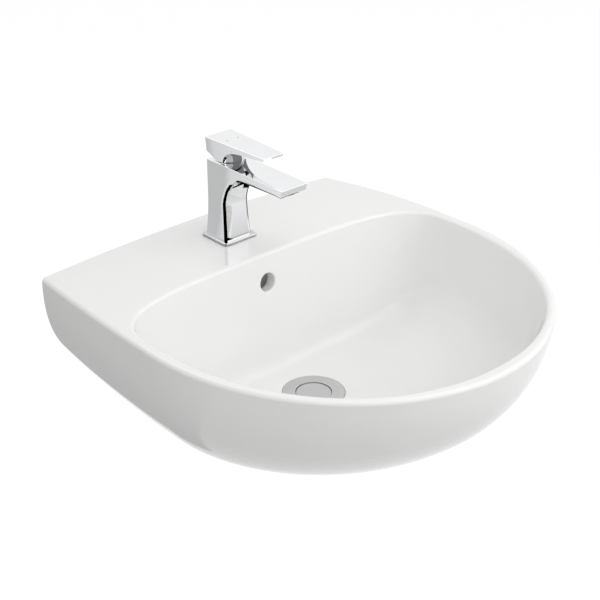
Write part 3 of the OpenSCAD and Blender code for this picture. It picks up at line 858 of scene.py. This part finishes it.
    def under_space(self):
        """The open space under the deck."""
        h = self.h - 1.3 * self.skin
        ring = lambda t: self.body_ring(t, self.skin, 96, 14, 24)
        rows = [[Vector((x * 0.02, mix(self.waste.y, y, 0.02), -self.deck_t)) for x, y in ring(0)]]
        rows.append(self.lifted(ring(0), -self.deck_t))
        for i in range(1, 21):
            t = sind(90 * i / 20) ** (2 / self.side_n)
            if t * h > self.deck_t + 4:
                rows.append(self.lifted(ring(t), -h * t))
        rows.append([Vector((p.x * 0.05, mix(-self.belly_y, p.y, 0.05), -h)) for p in rows[-1]])
        bm = worked(skinned(rows), block(-400, 400, -600, -self.panel_t, -400, 0), "INTERSECT")
        # The mouth behind the belly opens the space downwards, below the panel against the wall.
        reach = self.bowl_y - self.bowl_back + self.back_corner[0]
        middle_y = -(reach + 5) / 2 + 10
        corners = round_box(self.under_w, reach + 25, 24)
        mouth = skinned([[Vector((x, y + middle_y, z)) for x, y in corners] for z in (-400, -self.panel_h)])
        return worked(worked(bm, mouth, "UNION"), self.bowl_core(160, self.skin))

    def overflow(self, bm):
        """The channel behind the bowl and its hole, with a softly rounded mouth."""
        wall_back = self.bowl_y - self.bowl_back
        front, back = wall_back - self.skin, wall_back - self.skin - self.channel_d
        low_z, waste_y = self.seal_face, self.waste.y
        w = self.channel_w / 2 + 7
        wall = block(-w, w, -wall_back - 12, -back + 7, low_z, -self.deck_t + 2)
        for boss in (
            worked(wall, self.bowl_core(256, 3)),
            block(-w, w, waste_y, -back + 7, low_z, -self.bowl_h - 3),
            moved(rod(40, low_z, -self.bowl_h - 3, 96), y=waste_y),
        ):
            bm = worked(bm, boss, "UNION")
        w = self.channel_w / 2
        top = -self.overflow_z + self.overflow_d / 2 + 1.5
        channel = block(-w, w, -front, -back, low_z + 8, top)
        gallery = block(-w, w, waste_y, -back, low_z + 8, low_z + 22)
        # The bowl's back wall leans, and the mouth's flare follows it.
        r, round_r = self.overflow_d / 2, 2.2
        run, drop = self.back_corner[0], self.back_corner[1] - self.rim_r
        y0 = -wall_back - run * (self.overflow_z - self.rim_r) / drop
        turns = [90 * k / 8 for k in range(9)]
        flare = [(r + round_r * (1 - cosd(a)), round_r * sind(a) - round_r) for a in turns]
        far = -wall_back + back - 1
        hole = turned([(0, far), (r, far), *flare, (r + round_r, 12), (0, 12)], 96)
        rolled(hole, 90, "X")
        rolled(hole, -math.degrees(math.atan2(run, drop)), "X")
        moved(hole, y=y0, z=-self.overflow_z)
        return bored(bm, [channel, gallery, hole])


class WASHBASIN_OT_china(Operator):
    """Moulds the basin: bowl, rim, deck, belly, overflow and the holes for waste, mixer and bolts"""

    bl_idname = "washbasin.china"
    bl_label = "China"

    def execute(self, context):
        c = China()
        bm = c.overflow(worked(c.solid(), c.under_space()))
        flange_r, flange_low = span("waste_body", X) / 2 + 0.25, high("waste_body", Z) - RIM - 2.5
        seat = moved(rod(flange_r, flange_low - 0.8, -110, 160), y=c.waste.y)
        waste_hole = moved(rod(23, c.seal_face - 5, -140, 128), y=c.waste.y)
        mixer_hole = moved(rod(17.5, -c.deck_t - 6, 6, 96), y=TAP[1])
        bm = bored(bm, [seat, waste_hole, mixer_hole])
        for side in (-1, 1):
            for radius, depth in ((8, c.panel_t + 6), (12, 1.6)):
                hole = rolled(rod(radius, -8, depth, 64), 90, "X")
                bm = worked(bm, moved(hole, x=side * BOLT_X, z=-RIM))
        piece(bm, "china_basin", (0, 0, RIM), glazed_china(), "basin_set", "basin", angle=28)
        return {"FINISHED"}


# ---------------------------------------------------------------- mixer

# Heights are from the rim. REACH is from the column's axis to the spout's end.
FOOT, SPOUT = heights("tap_body")
SPOUT_LOW = SPOUT - 9.4
REACH = -(low("tap_body", Y) - TAP[1])
DOME_R = span("cartridge_cover", X) / 2


def side_view(edge, soft):
    """Column and spout from the side, for slab(): up the back, along the spout, and down under it."""
    neck, arch, under = FOOT + 0.45 * (SPOUT - FOOT), SPOUT_LOW - 2.4, 3.4
    # Each point is (y, z, corner radius, rounding of the long edge).
    outline = []
    for k in range(0, 17):
        p = bez2((18.5, FOOT), (16, FOOT + 34), (16, SPOUT), k / 16)
        outline.append((p.x, p.y, 0.8 if k == 16 else 0, edge))
    outline.append((-REACH, SPOUT, 0.8, edge))
    outline.append((-REACH + 2.5, SPOUT_LOW, 1.8, 1.4))
    outline.append((-REACH + 12, mix(SPOUT_LOW, arch, 9.5 / (REACH - 48.5)), 0, under))
    for k in range(0, 29):
        p = bez3((-46, arch), (-26, arch), (-12.4, arch - 27.2), (-12.8, neck), k / 28)
        outline.append((p.x, p.y, 0, mix(under, soft, smooth(k / 14))))
    for k in range(1, 15):
        p = bez2((-12.8, neck), (-13.9, FOOT + 23), (-16.8, FOOT), k / 14)
        outline.append((p.x, p.y, 0, soft))
    return eased(outline)


def mixer_body(s):
    half = s.body_width / MM / 2
    bm = slab(side_view(s.edge / MM, s.soft_edge / MM), half, FOOT)
    for k in range(1, 24):
        geom, level = bm.verts[:] + bm.edges[:] + bm.faces[:], mix(FOOT, SPOUT, k / 24)
        bmesh.ops.bisect_plane(bm, geom=geom, plane_co=(0, 0, level), plane_no=UP, dist=1e-5)
    # The sides flare at the foot and draw in between foot and spout.
    for v in bm.verts:
        up = clamp((v.co.z - FOOT) / (SPOUT_LOW - FOOT))
        waist = half + 0.9 * clamp(1 - (v.co.z - FOOT) / 30) ** 2 - 0.7 * math.sin(math.pi * up) ** 2
        v.co.x *= waist / half
    # The cartridge's well and its mouth, the aerator's seat, the waterway, the inlets and ducts, the stud.
    aerator_y = -REACH + 14
    cuts = [
        rod(13.5, SPOUT - 36, SPOUT + 5, 96),
        rod(14.3, SPOUT - 2.8, SPOUT + 8, 96),
        moved(rod(10.2, SPOUT_LOW - 5, SPOUT - 3.2, 64), y=aerator_y),
        block(-7, 7, aerator_y, 0, SPOUT_LOW + 1.8, SPOUT - 3.2),
    ]
    for side in (-1, 1):
        inlet, duct = rod(4.5, FOOT - 1, FOOT + 12, 48), rod(2.5, FOOT + 8, SPOUT - 35, 32)
        cuts += [moved(inlet, side * 8, 4), moved(duct, side * 5, 2.5)]
    cuts.append(moved(rod(3.05, FOOT - 1, FOOT + 12, 48), y=-8))
    piece(bored(bm, cuts), "mixer_body", TAP, chrome(), "basin_set", "tap_body")


def foot_plate():
    z0, z1 = heights("tap_base_plate")
    w, d = span("tap_base_plate", X), span("tap_base_plate", Y)
    shift, bevel = middle("tap_base_plate", Y) - TAP[1], 1.3
    rings = [(0.3, z0), (0, z0 + 0.3), (0, z1 - bevel)]
    rings += [(bevel * (1 - cosd(a)), z1 - bevel * (1 - sind(a))) for a in (18, 36, 54, 72, 90)]
    rows = []
    for inset, z in rings:
        corners = round_box(w - 2 * inset, d - 2 * inset, 2.2 - inset)
        rows.append([Vector((x, y + shift, z)) for x, y in corners])
    bm = worked(skinned(rows), moved(rod(13.3, -5, 20, 96), y=2))
    # The plate's chrome is darkened to 0.68 of its colour: painted shade under the column, not a darker
    # plating.
    piece(bm, "foot_plate", TAP, chrome(0.68), "basin_set", "tap_base_plate")


def aerator_collar():
    (z0, z1), r = heights("aerator_ring"), span("aerator_ring", X) / 2
    notches = [rolled(moved(rod(0.7, z0 - 1, z0 + 1.4, 16), x=r), 30 * k, "Z") for k in range(12)]
    bm = bored(ringed(r, r - 1.8, z0, z1, 0.4), notches)
    at = (TAP[0], middle("aerator_ring", Y), TAP[2])
    piece(bm, "aerator_collar", at, chrome(), "basin_set", "aerator_ring")


class WASHBASIN_OT_mixer_body(Operator):
    """Shapes the mixer's body with its spout, the foot plate and the aerator"""

    bl_idname = "washbasin.mixer_body"
    bl_label = "Mixer body"

    def execute(self, context):
        mixer_body(context.scene.mixer_sizes)
        foot_plate()
        aerator_collar()
        coated(rubber(), "tap_base_seal")
        coated(acetal(), "aerator_mesh")
        return {"FINISHED"}


def lever_handle(s):
    """The lever from the side, drawn in towards its tip."""
    back, length, top = 19, -(low("lever", Y) - TAP[1]), high("lever", Z) - PIVOT[2]
    edge, wide, tip = s.edge / MM, s.lever_width / MM, s.lever_tip / MM
    outline = [(back, top, 0.9, edge), (17, 10, 1.2, edge), (0, 2, 1.2, edge), (-10, 1.6, 1.0, edge)]
    for k in range(1, 17):
        p = bez3((-10, 1.6), (-12, 14), (-22, 18.5), (-46, top - 6.2), k / 16)
        outline.append((p.x, p.y, 0, edge))
    outline += [(-length + 1, top - 3.6, 0.8, edge), (-length, top, 0.8, edge)]
    bm = slab(eased(outline), wide / 2)
    for v in bm.verts:
        v.co.x *= mix(wide, tip, (back - v.co.y) / (back + length)) / wide
    # The hollow over the dome, the stem's socket, its screw's hole, and the seats of the two marks.
    ball = bmesh.new()
    bmesh.ops.create_uvsphere(ball, u_segments=128, v_segments=64, radius=DOME_R + 1.2)
    socket = rolled(block(-3.5, 3.5, -3.55, 3.55, 10, 23.7), 12.5, "X")
    screw_hole = moved(rolled(rod(2.55, -2, 40, 48), -90, "X"), z=21.2)
    marks = [moved(rod(0.9, top - 0.5, top + 3, 32), x, -8) for x in (-8, 8)]
    bm = bored(bm, [ball, socket, screw_hole, *marks])
    piece(bm, "lever_handle", PIVOT, chrome(), "lever_arm", "lever")


def round_cover():
    dome = [(DOME_R * cosd(a), DOME_R * sind(a)) for a in range(2, 59, 2)]
    profile = [(14.2, -2.5), (14.2, -0.1), (DOME_R - 0.5, -0.1), (DOME_R - 0.1, 0.15), *dome]
    profile += [(8.9, dome[-1][1] + 0.05), (8.9, 12.1), (9.7, 12), (9.7, 4.1), (12.6, 4), (12.6, -2.5)]
    bm = turned(profile, 128)
    piece(bm, "round_cover", PIVOT, chrome(), "basin_set", "cartridge_cover", weighted=False)


class WASHBASIN_OT_lever(Operator):
    """Shapes the lever, the round cover under it and the parts of the cartridge"""

    bl_idname = "washbasin.lever"
    bl_label = "Lever and cartridge"

    def execute(self, context):
        lever_handle(context.scene.mixer_sizes)
        round_cover()
        coated(acetal(), "cartridge_housing")
        coated(alumina(), "fixed_disc", "moving_disc")
        coated(moulded("spindle plastic", (0.45, 0.14, 0.06), 0.35), "spindle")
        coated(plated_steel(), "pivot_pin", "lever_screw")
        coated(brass(), "lever_stem")
        coated(enamel("red enamel", (0.22, 0.045, 0.04)), "hot_mark")
        coated(enamel("blue enamel", (0.045, 0.06, 0.2)), "cold_mark")
        return {"FINISHED"}


# ---------------------------------------------------------------- waste

TAIL_R, BORE_R = 20.95, 17  # of the tail's thread and of the bore


def quarter(x, z, radius):
    """A quarter round about (x, z), from its top to its side."""
    return [(x + radius * sind(a), z + radius * cosd(a)) for a in range(0, 91, 15)]


def slot_box(width, z0, z1):
    """A cutter for a long hole with round ends, pointing along +X."""
    bm = block(12, 40, -width / 2, width / 2, z0, z1)
    along = [e for e in bm.edges if abs(e.verts[0].co.x - e.verts[1].co.x) > 1]
    bmesh.ops.bevel(
        bm, geom=along, offset=(z1 - z0) * 0.35, offset_type="OFFSET",
        segments=6, profile=0.5, affect="EDGES", material=-1,
    )
    return bm


def stem_guide(top):
    """A ring on three webs, which guides the cap's stem."""
    bm = rod(7, top - 10, top)
    for a in (30, 150, 270):
        web = block(5, BORE_R + 0.5, -1.25, 1.25, top - 10, top - 0.5)
        bm = worked(bm, rolled(web, a, "Z"), "UNION")
    return worked(bm, rod(4.05, top - 12, top + 2))


def waste_fitting(rim_r, seat_r):
    """Flange, threaded tail and plain end, with its bore, the cap's seat, the stem's guide and two slots."""
    foot, top = heights("waste_body")
    flange_low, thread_low = top - 2.5, low("back_nut", Z) - RIM - 3
    neck_r, neck_low, end_r, end_top = 22.7, flange_low - 7.5, 20, thread_low + 2
    rim = quarter(rim_r - 1.2, top - 1.2, 1.2)
    neck = [(neck_r, flange_low), (neck_r, neck_low), (0, neck_low)]
    bm = turned([(0, top), *rim, (rim_r, flange_low), *neck], 160)
    # Eleven threads to the inch.
    bm = worked(bm, threaded(TAIL_R, thread_low, flange_low - 6, 2.309, 0.85, steps=96), "UNION")
    end = turned([(0, foot), (end_r - 0.6, foot), (end_r, foot + 0.6), (end_r, end_top), (0, end_top)])
    bm = worked(bm, end, "UNION")
    bore = [(0, foot - 1), (BORE_R + 1, foot - 1), (BORE_R, foot + 0.6), (BORE_R, top - 5.6)]
    bm = worked(bm, turned([*bore, (seat_r - 0.6, top - 5), (0, top - 5)]))
    bm = worked(bm, rod(seat_r, top - 5.2, top + 0.3, 160))
    bm = worked(bm, stem_guide(top - 18), "UNION")
    gallery = China.seal_face + 8
    bm = bored(bm, [rolled(slot_box(18, gallery + 1, gallery + 12), a, "Z") for a in (90, 270)])
    piece(bm, "waste_fitting", WASTE, satin_steel(), "basin_set", "waste_body")


def push_cap(r):
    top = high("waste_body", Z) - RIM
    dome = [(r * k / 12, top - 0.55 - 0.15 * (k / 12) ** 2) for k in range(12)]
    edge = quarter(r - 0.5, top - 1.2, 0.5)
    bm = turned([*dome, *edge, (r, top - 2.6), (r - 0.4, top - 3), (0, top - 3)], 160)
    piece(bm, "push_cap", WASTE, satin_steel(), "plug", "plug_cap")


def plug_ring(lip):
    """The seal under the cap, with its thin lip."""
    z0, z1 = heights("plug_seal")
    profile = [(9.2, z0), (lip - 2.6, z0), (lip - 1.8, z0 + 0.5), (lip - 0.3, z0), (lip, z0 + 0.4)]
    bm = turned([*profile, (lip, z1), (9, z1), (9, z0 + 0.2)], 128)
    piece(bm, "plug_ring", WASTE, rubber(), "plug", "plug_seal")


def plug_spindle():
    """The cap's stem, with a collar at its foot and eight grooves under its head."""
    z0, z1 = heights("plug_stem")
    profile = [(0, z0), (4.9, z0), (5.5, z0 + 0.6), (5.5, z0 + 4.4), (4.9, z0 + 5)]
    profile += [(4.4, z0 + 5), (4, z0 + 5.4)]
    for k in range(8):
        profile += [(4, z1 - 14 + k), (3.75, z1 - 13.75 + k), (3.75, z1 - 13.45 + k), (4, z1 - 13.2 + k)]
    profile += [(4, z1 - 5.8), (6.2, z1 - 5), (7, z1 - 4.2), (7, z1), (0, z1)]
    piece(turned(profile, 64), "plug_spindle", WASTE, brass(), "plug", "plug_stem")


def tail_seal():
    (z0, z1), r = heights("lower_seal"), span("lower_seal", X) / 2
    profile = [(21.6, z0), (r - 0.6, z0), (r, z0 + 0.6), (r, z0 + 2), (r - 2.5, z1), (21.9, z1)]
    bm = turned([*profile, (21.15, z1 - 0.8), (21.15, z0 + 0.5)], 128)
    piece(bm, "tail_seal", WASTE, rubber(), "basin_set", "lower_seal")


class WASHBASIN_OT_waste(Operator):
    """Turns the push waste: flange, tail, cap, stem, seals and nut"""

    bl_idname = "washbasin.waste"
    bl_label = "Waste"

    def execute(self, context):
        s = context.scene.waste_sizes
        cap_r = s.cap / MM / 2
        waste_fitting(s.flange / MM / 2, cap_r + 0.55)
        push_cap(cap_r)
        plug_ring(cap_r - 0.6)
        plug_spindle()
        tail_seal()
        nut = hex_nut(span("back_nut", Y), 2 * TAIL_R + 0.1, *heights("back_nut"))
        piece(nut, "tail_nut", WASTE, brass(), "basin_set", "back_nut")
        coated(rubber(), "flange_gasket")
        coated(nylon(), "slip_washer")
        return {"FINISHED"}


# ---------------------------------------------------------------- fixings


def wall_fixing(side):
    """One wall bolt with its bush, washer and nut, each drawn upright and then laid towards the room."""
    at = (middle(f"wall_bolt_{side}", X), 0, middle(f"wall_bolt_{side}", Z))
    wall, room = -high(f"wall_bolt_{side}", Y), -low(f"wall_bolt_{side}", Y)
    bolt = threaded(5, wall, 0, 4.2, 1.1, (14, 1), 32)
    bolt = worked(bolt, ringed(5, 0.01, -1, 3, 0.3, 48), "UNION")
    bolt = worked(bolt, threaded(4.6, 2, room, 1.5, 0.7), "UNION")
    p = China.panel_t
    bush = [(4.8, p - 4.2), (5.1, p - 4.5), (7.4, p - 4.5), (7.8, p - 4.1), (7.8, p), (13.4, p)]
    bush += [(14, p + 0.6), (14, p + 1.6), (13, p + 2.6), (11, p + 3), (4.8, p + 3)]
    nut_low, nut_high = -high(f"bolt_nut_{side}", Y), -low(f"bolt_nut_{side}", Y)
    nut = hex_nut(span(f"bolt_nut_{side}", Z), 9.3, nut_low, nut_high)
    for name, bm, node, coat, slot in (
        ("screw", bolt, "wall_bolt", plated_steel(), "zinc_steel"),
        ("bush", turned(bush), "bolt_bush", nylon(), "nylon"),
        ("washer", ringed(12, 4.9, p + 3, p + 5, 0.3), "bolt_washer", plated_steel(), "zinc_steel"),
        ("nut", nut, "bolt_nut", plated_steel(), "zinc_steel"),
    ):
        piece(rolled(bm, 90, "X"), f"wall_{name}_{side}", at, coat, "basin_set", f"{node}_{side}")


class WASHBASIN_OT_fixings(Operator):
    """Makes the wall bolts, bushes, washers and nuts, and the mixer's clamp under the deck"""

    bl_idname = "washbasin.fixings"
    bl_label = "Fixings"

    def execute(self, context):
        for side in ("left", "right"):
            wall_fixing(side)
        at = (0, middle("tap_stud", Y), RIM)
        stud = threaded(3, *heights("tap_stud"), 1, 0.5, steps=24)
        piece(stud, "clamp_stud", at, plated_steel(), "basin_set", "tap_stud")
        nut = hex_nut(span("stud_nut", Y), 6.1, *heights("stud_nut"))
        piece(nut, "clamp_nut", at, brass(), "basin_set", "stud_nut")
        coated(rubber(), "horseshoe_gasket")
        coated(plated_steel(), "horseshoe_washer")
        return {"FINISHED"}


# ---------------------------------------------------------------- stage


def lamp(name, toward, power, size):
    """A square lamp at a distance from the basin, in a direction from it."""
    aim, distance = Vector((0, -0.25, -0.02)), 2.2
    data = bpy.data.lights.new(name, "AREA")
    data.size, data.energy = size, power
    obj = linked(bpy.data.objects.new(name, data))
    obj.location = aim + Vector(toward).normalized() * distance
    obj.rotation_mode = "QUATERNION"
    obj.rotation_quaternion = (aim - obj.location).to_track_quat("-Z", "Y")


def upright(line, z0, z1):
    """A card standing on a line of (x, y) points."""
    bm = bmesh.new()
    verts = [bm.verts.new((x, y, z0)) for x, y in line]
    edges = [bm.edges.new(pair) for pair in zip(verts, verts[1:])]
    up = bmesh.ops.extrude_edge_only(bm, edges=edges)["geom"]
    bmesh.ops.translate(bm, vec=(0, 0, z1 - z0), verts=[v for v in up if isinstance(v, bmesh.types.BMVert)])
    return bm


def lying(outline, z):
    """A level card with an outline of (x, y) points."""
    bm = bmesh.new()
    verts = [bm.verts.new((x, y, z)) for x, y in outline]
    edges = [bm.edges.new((verts[i - 1], v)) for i, v in enumerate(verts)]
    bmesh.ops.edgeloop_fill(bm, edges=edges)
    return bm


def tilted(outline, z, slope, bearing):
    """A card that starts at its outline's first point and rises along a bearing."""
    bm = lying(outline, z)
    x, y = outline[0]
    c, s = cosd(bearing), sind(bearing)
    for v in bm.verts:
        v.co.z += slope * ((v.co.x - x) * c + (v.co.y - y) * s)
    return bm


def sector(x, y, radius, start, stop, step=10):
    """Points on an arc round (x, y), between two bearings in degrees."""
    return [(x + radius * cosd(a), y + radius * sind(a)) for a in range(start, stop + 1, step)]


def flag(name, bm, tone, faces=UP):
    """Makes a card that mirrors alone see, and only from the side it faces; it glows at its tone and so
    paints a reflection, grey or black, onto the glossy surfaces that see it.

    It is drawn in millimetres from the mixer's axis at the rim. Its tone is a level or a function."""
    for f in bm.faces:
        f.normal_update()
    if sum((f.normal.dot(Vector(faces)) for f in bm.faces)) < 0:
        bmesh.ops.reverse_faces(bm, faces=bm.faces[:])
    bmesh.ops.translate(bm, vec=TAP, verts=bm.verts)
    bmesh.ops.scale(bm, vec=(MM, MM, MM), verts=bm.verts)
    obj = placed(bm, name)
    for ray in ("camera", "diffuse", "transmission", "volume_scatter", "shadow"):
        setattr(obj, "visible_" + ray, False)
    f = Finish(name + " card")
    side = f.tree.nodes.new("ShaderNodeNewGeometry").outputs["Backfacing"]
    # The card glows at its tone: a painted reflection, grey or black.
    glow = f.add("Emission", Color=WHITE, Strength=tone(f) if callable(tone) else tone)
    f.surface(f.add("MixShader", i0=side, i1=glow, i2=f.add("BsdfTransparent")))
    obj.data.materials.append(f.material)


def left_painted_shade(f):
    """Painted shade for the column's left side to mirror: grey near the column's left side, and paler away
    from it.
    """
    x = f.add("SeparateXYZ", Vector=f.centred(TAP))
    y = x.node.outputs[1]
    line = f.maths("ADD", y, f.maths("MULTIPLY", f.maths("ADD", x, 0.019), 1.09))
    grey = bpy.context.scene.studio_sizes.flags
    near = f.ramp(line, 0.002, -0.010, grey, grey + 0.17)
    return f.maths("ADD", near, f.ramp(line, -0.010, -0.110, 0.0, 0.12))


def behind_painted_shade(f):
    # Grey near the mixer and white far off: painted shade on a card behind the basin, which mirrors see.
    return f.ramp(f.add("SeparateXYZ", Vector=f.centred(TAP)), -0.3, -1.5, 0.5, 1.0)


def front_painted_shade(f):
    """Painted reflection for the column's front: dark at the column's foot as painted shade, white away from
    it and along the left edge.
    """
    place = f.centred(TAP)
    away = f.add("SeparateXYZ", 1, Vector=place)
    tone = f.maths("ADD", f.ramp(away, -0.017, -0.030, 0.25, 0.74), f.ramp(away, -0.030, -0.135, 0.0, 0.26))
    across = f.maths("ADD", f.add("SeparateXYZ", 0, Vector=place), f.maths("MULTIPLY", away, 0.92))
    return f.maths("MAXIMUM", tone, f.ramp(across, -0.034, -0.020, 1.0, 0.2))


def cards():
    """Glowing cards that paint reflections into the mixer's chrome: grey ones paint the shaded surroundings
    that the column's left side, its front and the dome mirror, and black ones paint dark reflections along
    its edges, at its foot, under the arch and the spout, and round the dome under the lever.

    left and right are the column's front edges, and the heights are the mixer's own."""
    left, right = (-19, -13), (19, -13)
    # Grey cards with graded tones: painted shaded surroundings that the column's left side mirrors.
    far_left = [(-20, 22), (-20, -10), (-85, 55), (-110, 12), (-132, -15), (-900, -15)]
    far_left += [(-900, 900), (-600, 900)]
    flag("flag_left", lying(far_left, 1), left_painted_shade)
    flag("flag_behind", upright([(-60, 326), (-1500, 126)], -960, -30), behind_painted_shade, (0, -1, 0))
    # Black cards: painted dark reflections along the column's front edges and at its foot.
    round_left = sector(*left, 30, 165, 265)
    flag("flag_edge_low", lying([left, *round_left], 4.2), 0.0)
    flag("flag_edge_high", upright(round_left, 2, 68), 0.0, (1, 1, 0))
    flag("flag_foot", lying([(-24, -22), *sector(-24, -22, 12, 172, 272)], 0.3), 0.0)
    flag("flag_right_low", tilted([right, *sector(*right, 62, 8, 50, 7)], 1, 0.45, 25), 0.0)
    ring = sector(*right, 28, -20, 8, 7) + sector(*right, 62, -20, 8, 7)[::-1]
    flag("flag_right_high", tilted(ring, 9.9, 0.45, 25), 0.0)
    # Black cards under the arch and the spout: painted dark reflections there.
    flag("flag_arch", lying([(-32, -17), (-8, -17), (-8, -34), (-32, -34)], 4.4), 0.0)
    flag("flag_under", lying([(-21.5, -113), (12, -113), (12, -34), (-21.5, -34)], 84), 0.0)
    # The column front's own card: a painted reflection, with painted shade at the foot.
    flag("flag_front", lying([(-19, -17), (19, -17), (128, -135), (90, -135)], 3.4), front_painted_shade)
    # Grey cards round the dome under the lever: painted reflections of shaded surroundings.
    flag("flag_ball_left", upright(sector(0, 0, 30, 215, 255), 97, 116), 0.5, (1, 1, 0))
    flag("flag_ball_right", upright(sector(0, 0, 30, 255, 325), 97, 116), 0.2, (0, 1, 0))
    # A black card round the dome under the lever: painted shade in its reflection.
    seat = [*sector(0, 0, 17.4, 180, 250), (-6, -22), (-19, -19), (-19, 0)]
    flag("flag_seat", lying(seat, 98.15), 0.0)
    # A black card behind the mixer: painted dark reflections on its back edges.
    flag("flag_back", lying([(-19, 19.5), *sector(-19, 19.5, 260, 48, 120, 8)], 1), 0.0)


def pale_floor(drop):
    """A floor that looks white and still takes the object's shadow."""
    bm = bmesh.new()
    bmesh.ops.create_grid(bm, x_segments=8, y_segments=8, size=16)
    bmesh.ops.translate(bm, vec=(0, 0, RIM * MM - drop), verts=bm.verts)
    floor = placed(bm, "studio_floor")
    f = Finish("pale floor", Roughness=0.8)
    f.tint(f.noise(0.6, 2.0), (0.53, 0.53, 0.53, 1), (0.55, 0.55, 0.55, 1))
    glow, matt = f.add("Emission", Color=WHITE, Strength=0.88), f.add("BsdfDiffuse", Color=(0.2, 0.2, 0.2, 1))
    white = f.add("AddShader", i0=glow, i1=matt)
    f.surface(f.add("MixShader", i0=f.seen(), i1=f.shader.outputs[0], i2=white))
    floor.data.materials.append(f.material)


def white_room(light):
    """A world that looks white and lights the object at a lower level."""
    world = bpy.data.worlds.new("white room")
    bpy.context.scene.world = world
    world.use_nodes = True
    f = Nodes(world.node_tree)
    level = f.maths("ADD", f.maths("MULTIPLY", f.seen(), 1 - light), light)
    background = world.node_tree.nodes["Background"]
    background.inputs["Color"].default_value = WHITE
    world.node_tree.links.new(level, background.inputs["Strength"])


def photo_camera():
    """A camera at the photograph's place, turned by its yaw, pitch and roll."""
    yaw, pitch, roll = map(math.radians, (42.544, 27.676, 0.352))
    look = Vector((math.sin(yaw) * math.cos(pitch), math.cos(yaw) * math.cos(pitch), -math.sin(pitch)))
    right = Vector((math.cos(yaw), -math.sin(yaw), 0))
    up = right.cross(look)
    right, up = math.cos(roll) * right + math.sin(roll) * up, math.cos(roll) * up - math.sin(roll) * right
    data = bpy.data.cameras.new("photo_camera")
    data.lens, data.sensor_width, data.clip_end = 87.0, 36.0, 100
    camera = linked(bpy.data.objects.new("photo_camera", data))
    camera.matrix_world = Matrix((
        (right.x, up.x, -look.x, -0.9863),
        (right.y, up.y, -look.y, -1.2632),
        (right.z, up.z, -look.z, 0.7273 + RIM * MM),
        (0, 0, 0, 1),
    ))
    bpy.context.scene.camera = camera


class WASHBASIN_OT_studio(Operator):
    """Lays the pale floor and sets the lamps, the white room, the flags round the mixer and the camera"""

    bl_idname = "washbasin.studio"
    bl_label = "Studio"

    def execute(self, context):
        s = context.scene.studio_sizes
        pale_floor(s.floor_drop)
        white_room(s.room)
        lamp("lamp_front_left", (-0.7, -0.7, 0.4), 8.0 * s.lamps, 3.0)
        lamp("lamp_front_right", (0.7, -0.7, 0.4), 19.7 * s.lamps, 3.0)
        lamp("lamp_front_top", (0, -0.7, 1), 19.0 * s.lamps, 3.0)
        lamp("lamp_back_top", (0, 0.6, 1), 5.6 * s.lamps, 1.3)
        cards()
        photo_camera()
        context.scene.view_settings.view_transform = "Standard"
        return {"FINISHED"}


# ---------------------------------------------------------------- add-on


class WASHBASIN_PT_panel(Panel):
    """Sizes, colours and the steps that build the washbasin"""

    bl_label = "Washbasin"
    bl_idname = "WASHBASIN_PT_panel"
    bl_space_type = "VIEW_3D"
    bl_region_type = "UI"
    bl_category = "Washbasin"

    def draw(self, context):
        scene = context.scene
        for title, group, steps in PARTS:
            box = self.layout.box()
            box.label(text=title)
            settings = getattr(scene, group)
            for name in settings.__annotations__:
                box.prop(settings, name)
            for step in steps:
                box.operator(step.bl_idname)


PARTS = [
    ("China", "china_sizes", [WASHBASIN_OT_china]),
    ("Mixer", "mixer_sizes", [WASHBASIN_OT_mixer_body, WASHBASIN_OT_lever]),
    ("Waste and fixings", "waste_sizes", [WASHBASIN_OT_waste, WASHBASIN_OT_fixings]),
    ("Studio", "studio_sizes", [WASHBASIN_OT_studio]),
]
GROUPS = {
    "china_sizes": ChinaSizes, "mixer_sizes": MixerSizes,
    "waste_sizes": WasteSizes, "studio_sizes": StudioSizes,
}
CLASSES = [*GROUPS.values(), *[step for _, _, steps in PARTS for step in steps], WASHBASIN_PT_panel]


def register():
    for cls in CLASSES:
        bpy.utils.register_class(cls)
    for name, group in GROUPS.items():
        setattr(bpy.types.Scene, name, PointerProperty(type=group))


def unregister():
    for name in GROUPS:
        delattr(bpy.types.Scene, name)
    for cls in reversed(CLASSES):
        bpy.utils.unregister_class(cls)


def main():
    register()
    bpy.ops.washbasin.china()
    bpy.ops.washbasin.mixer_body()
    bpy.ops.washbasin.lever()
    bpy.ops.washbasin.waste()
    bpy.ops.washbasin.fixings()
    bpy.ops.washbasin.studio()


if __name__ == "__main__":
    main()
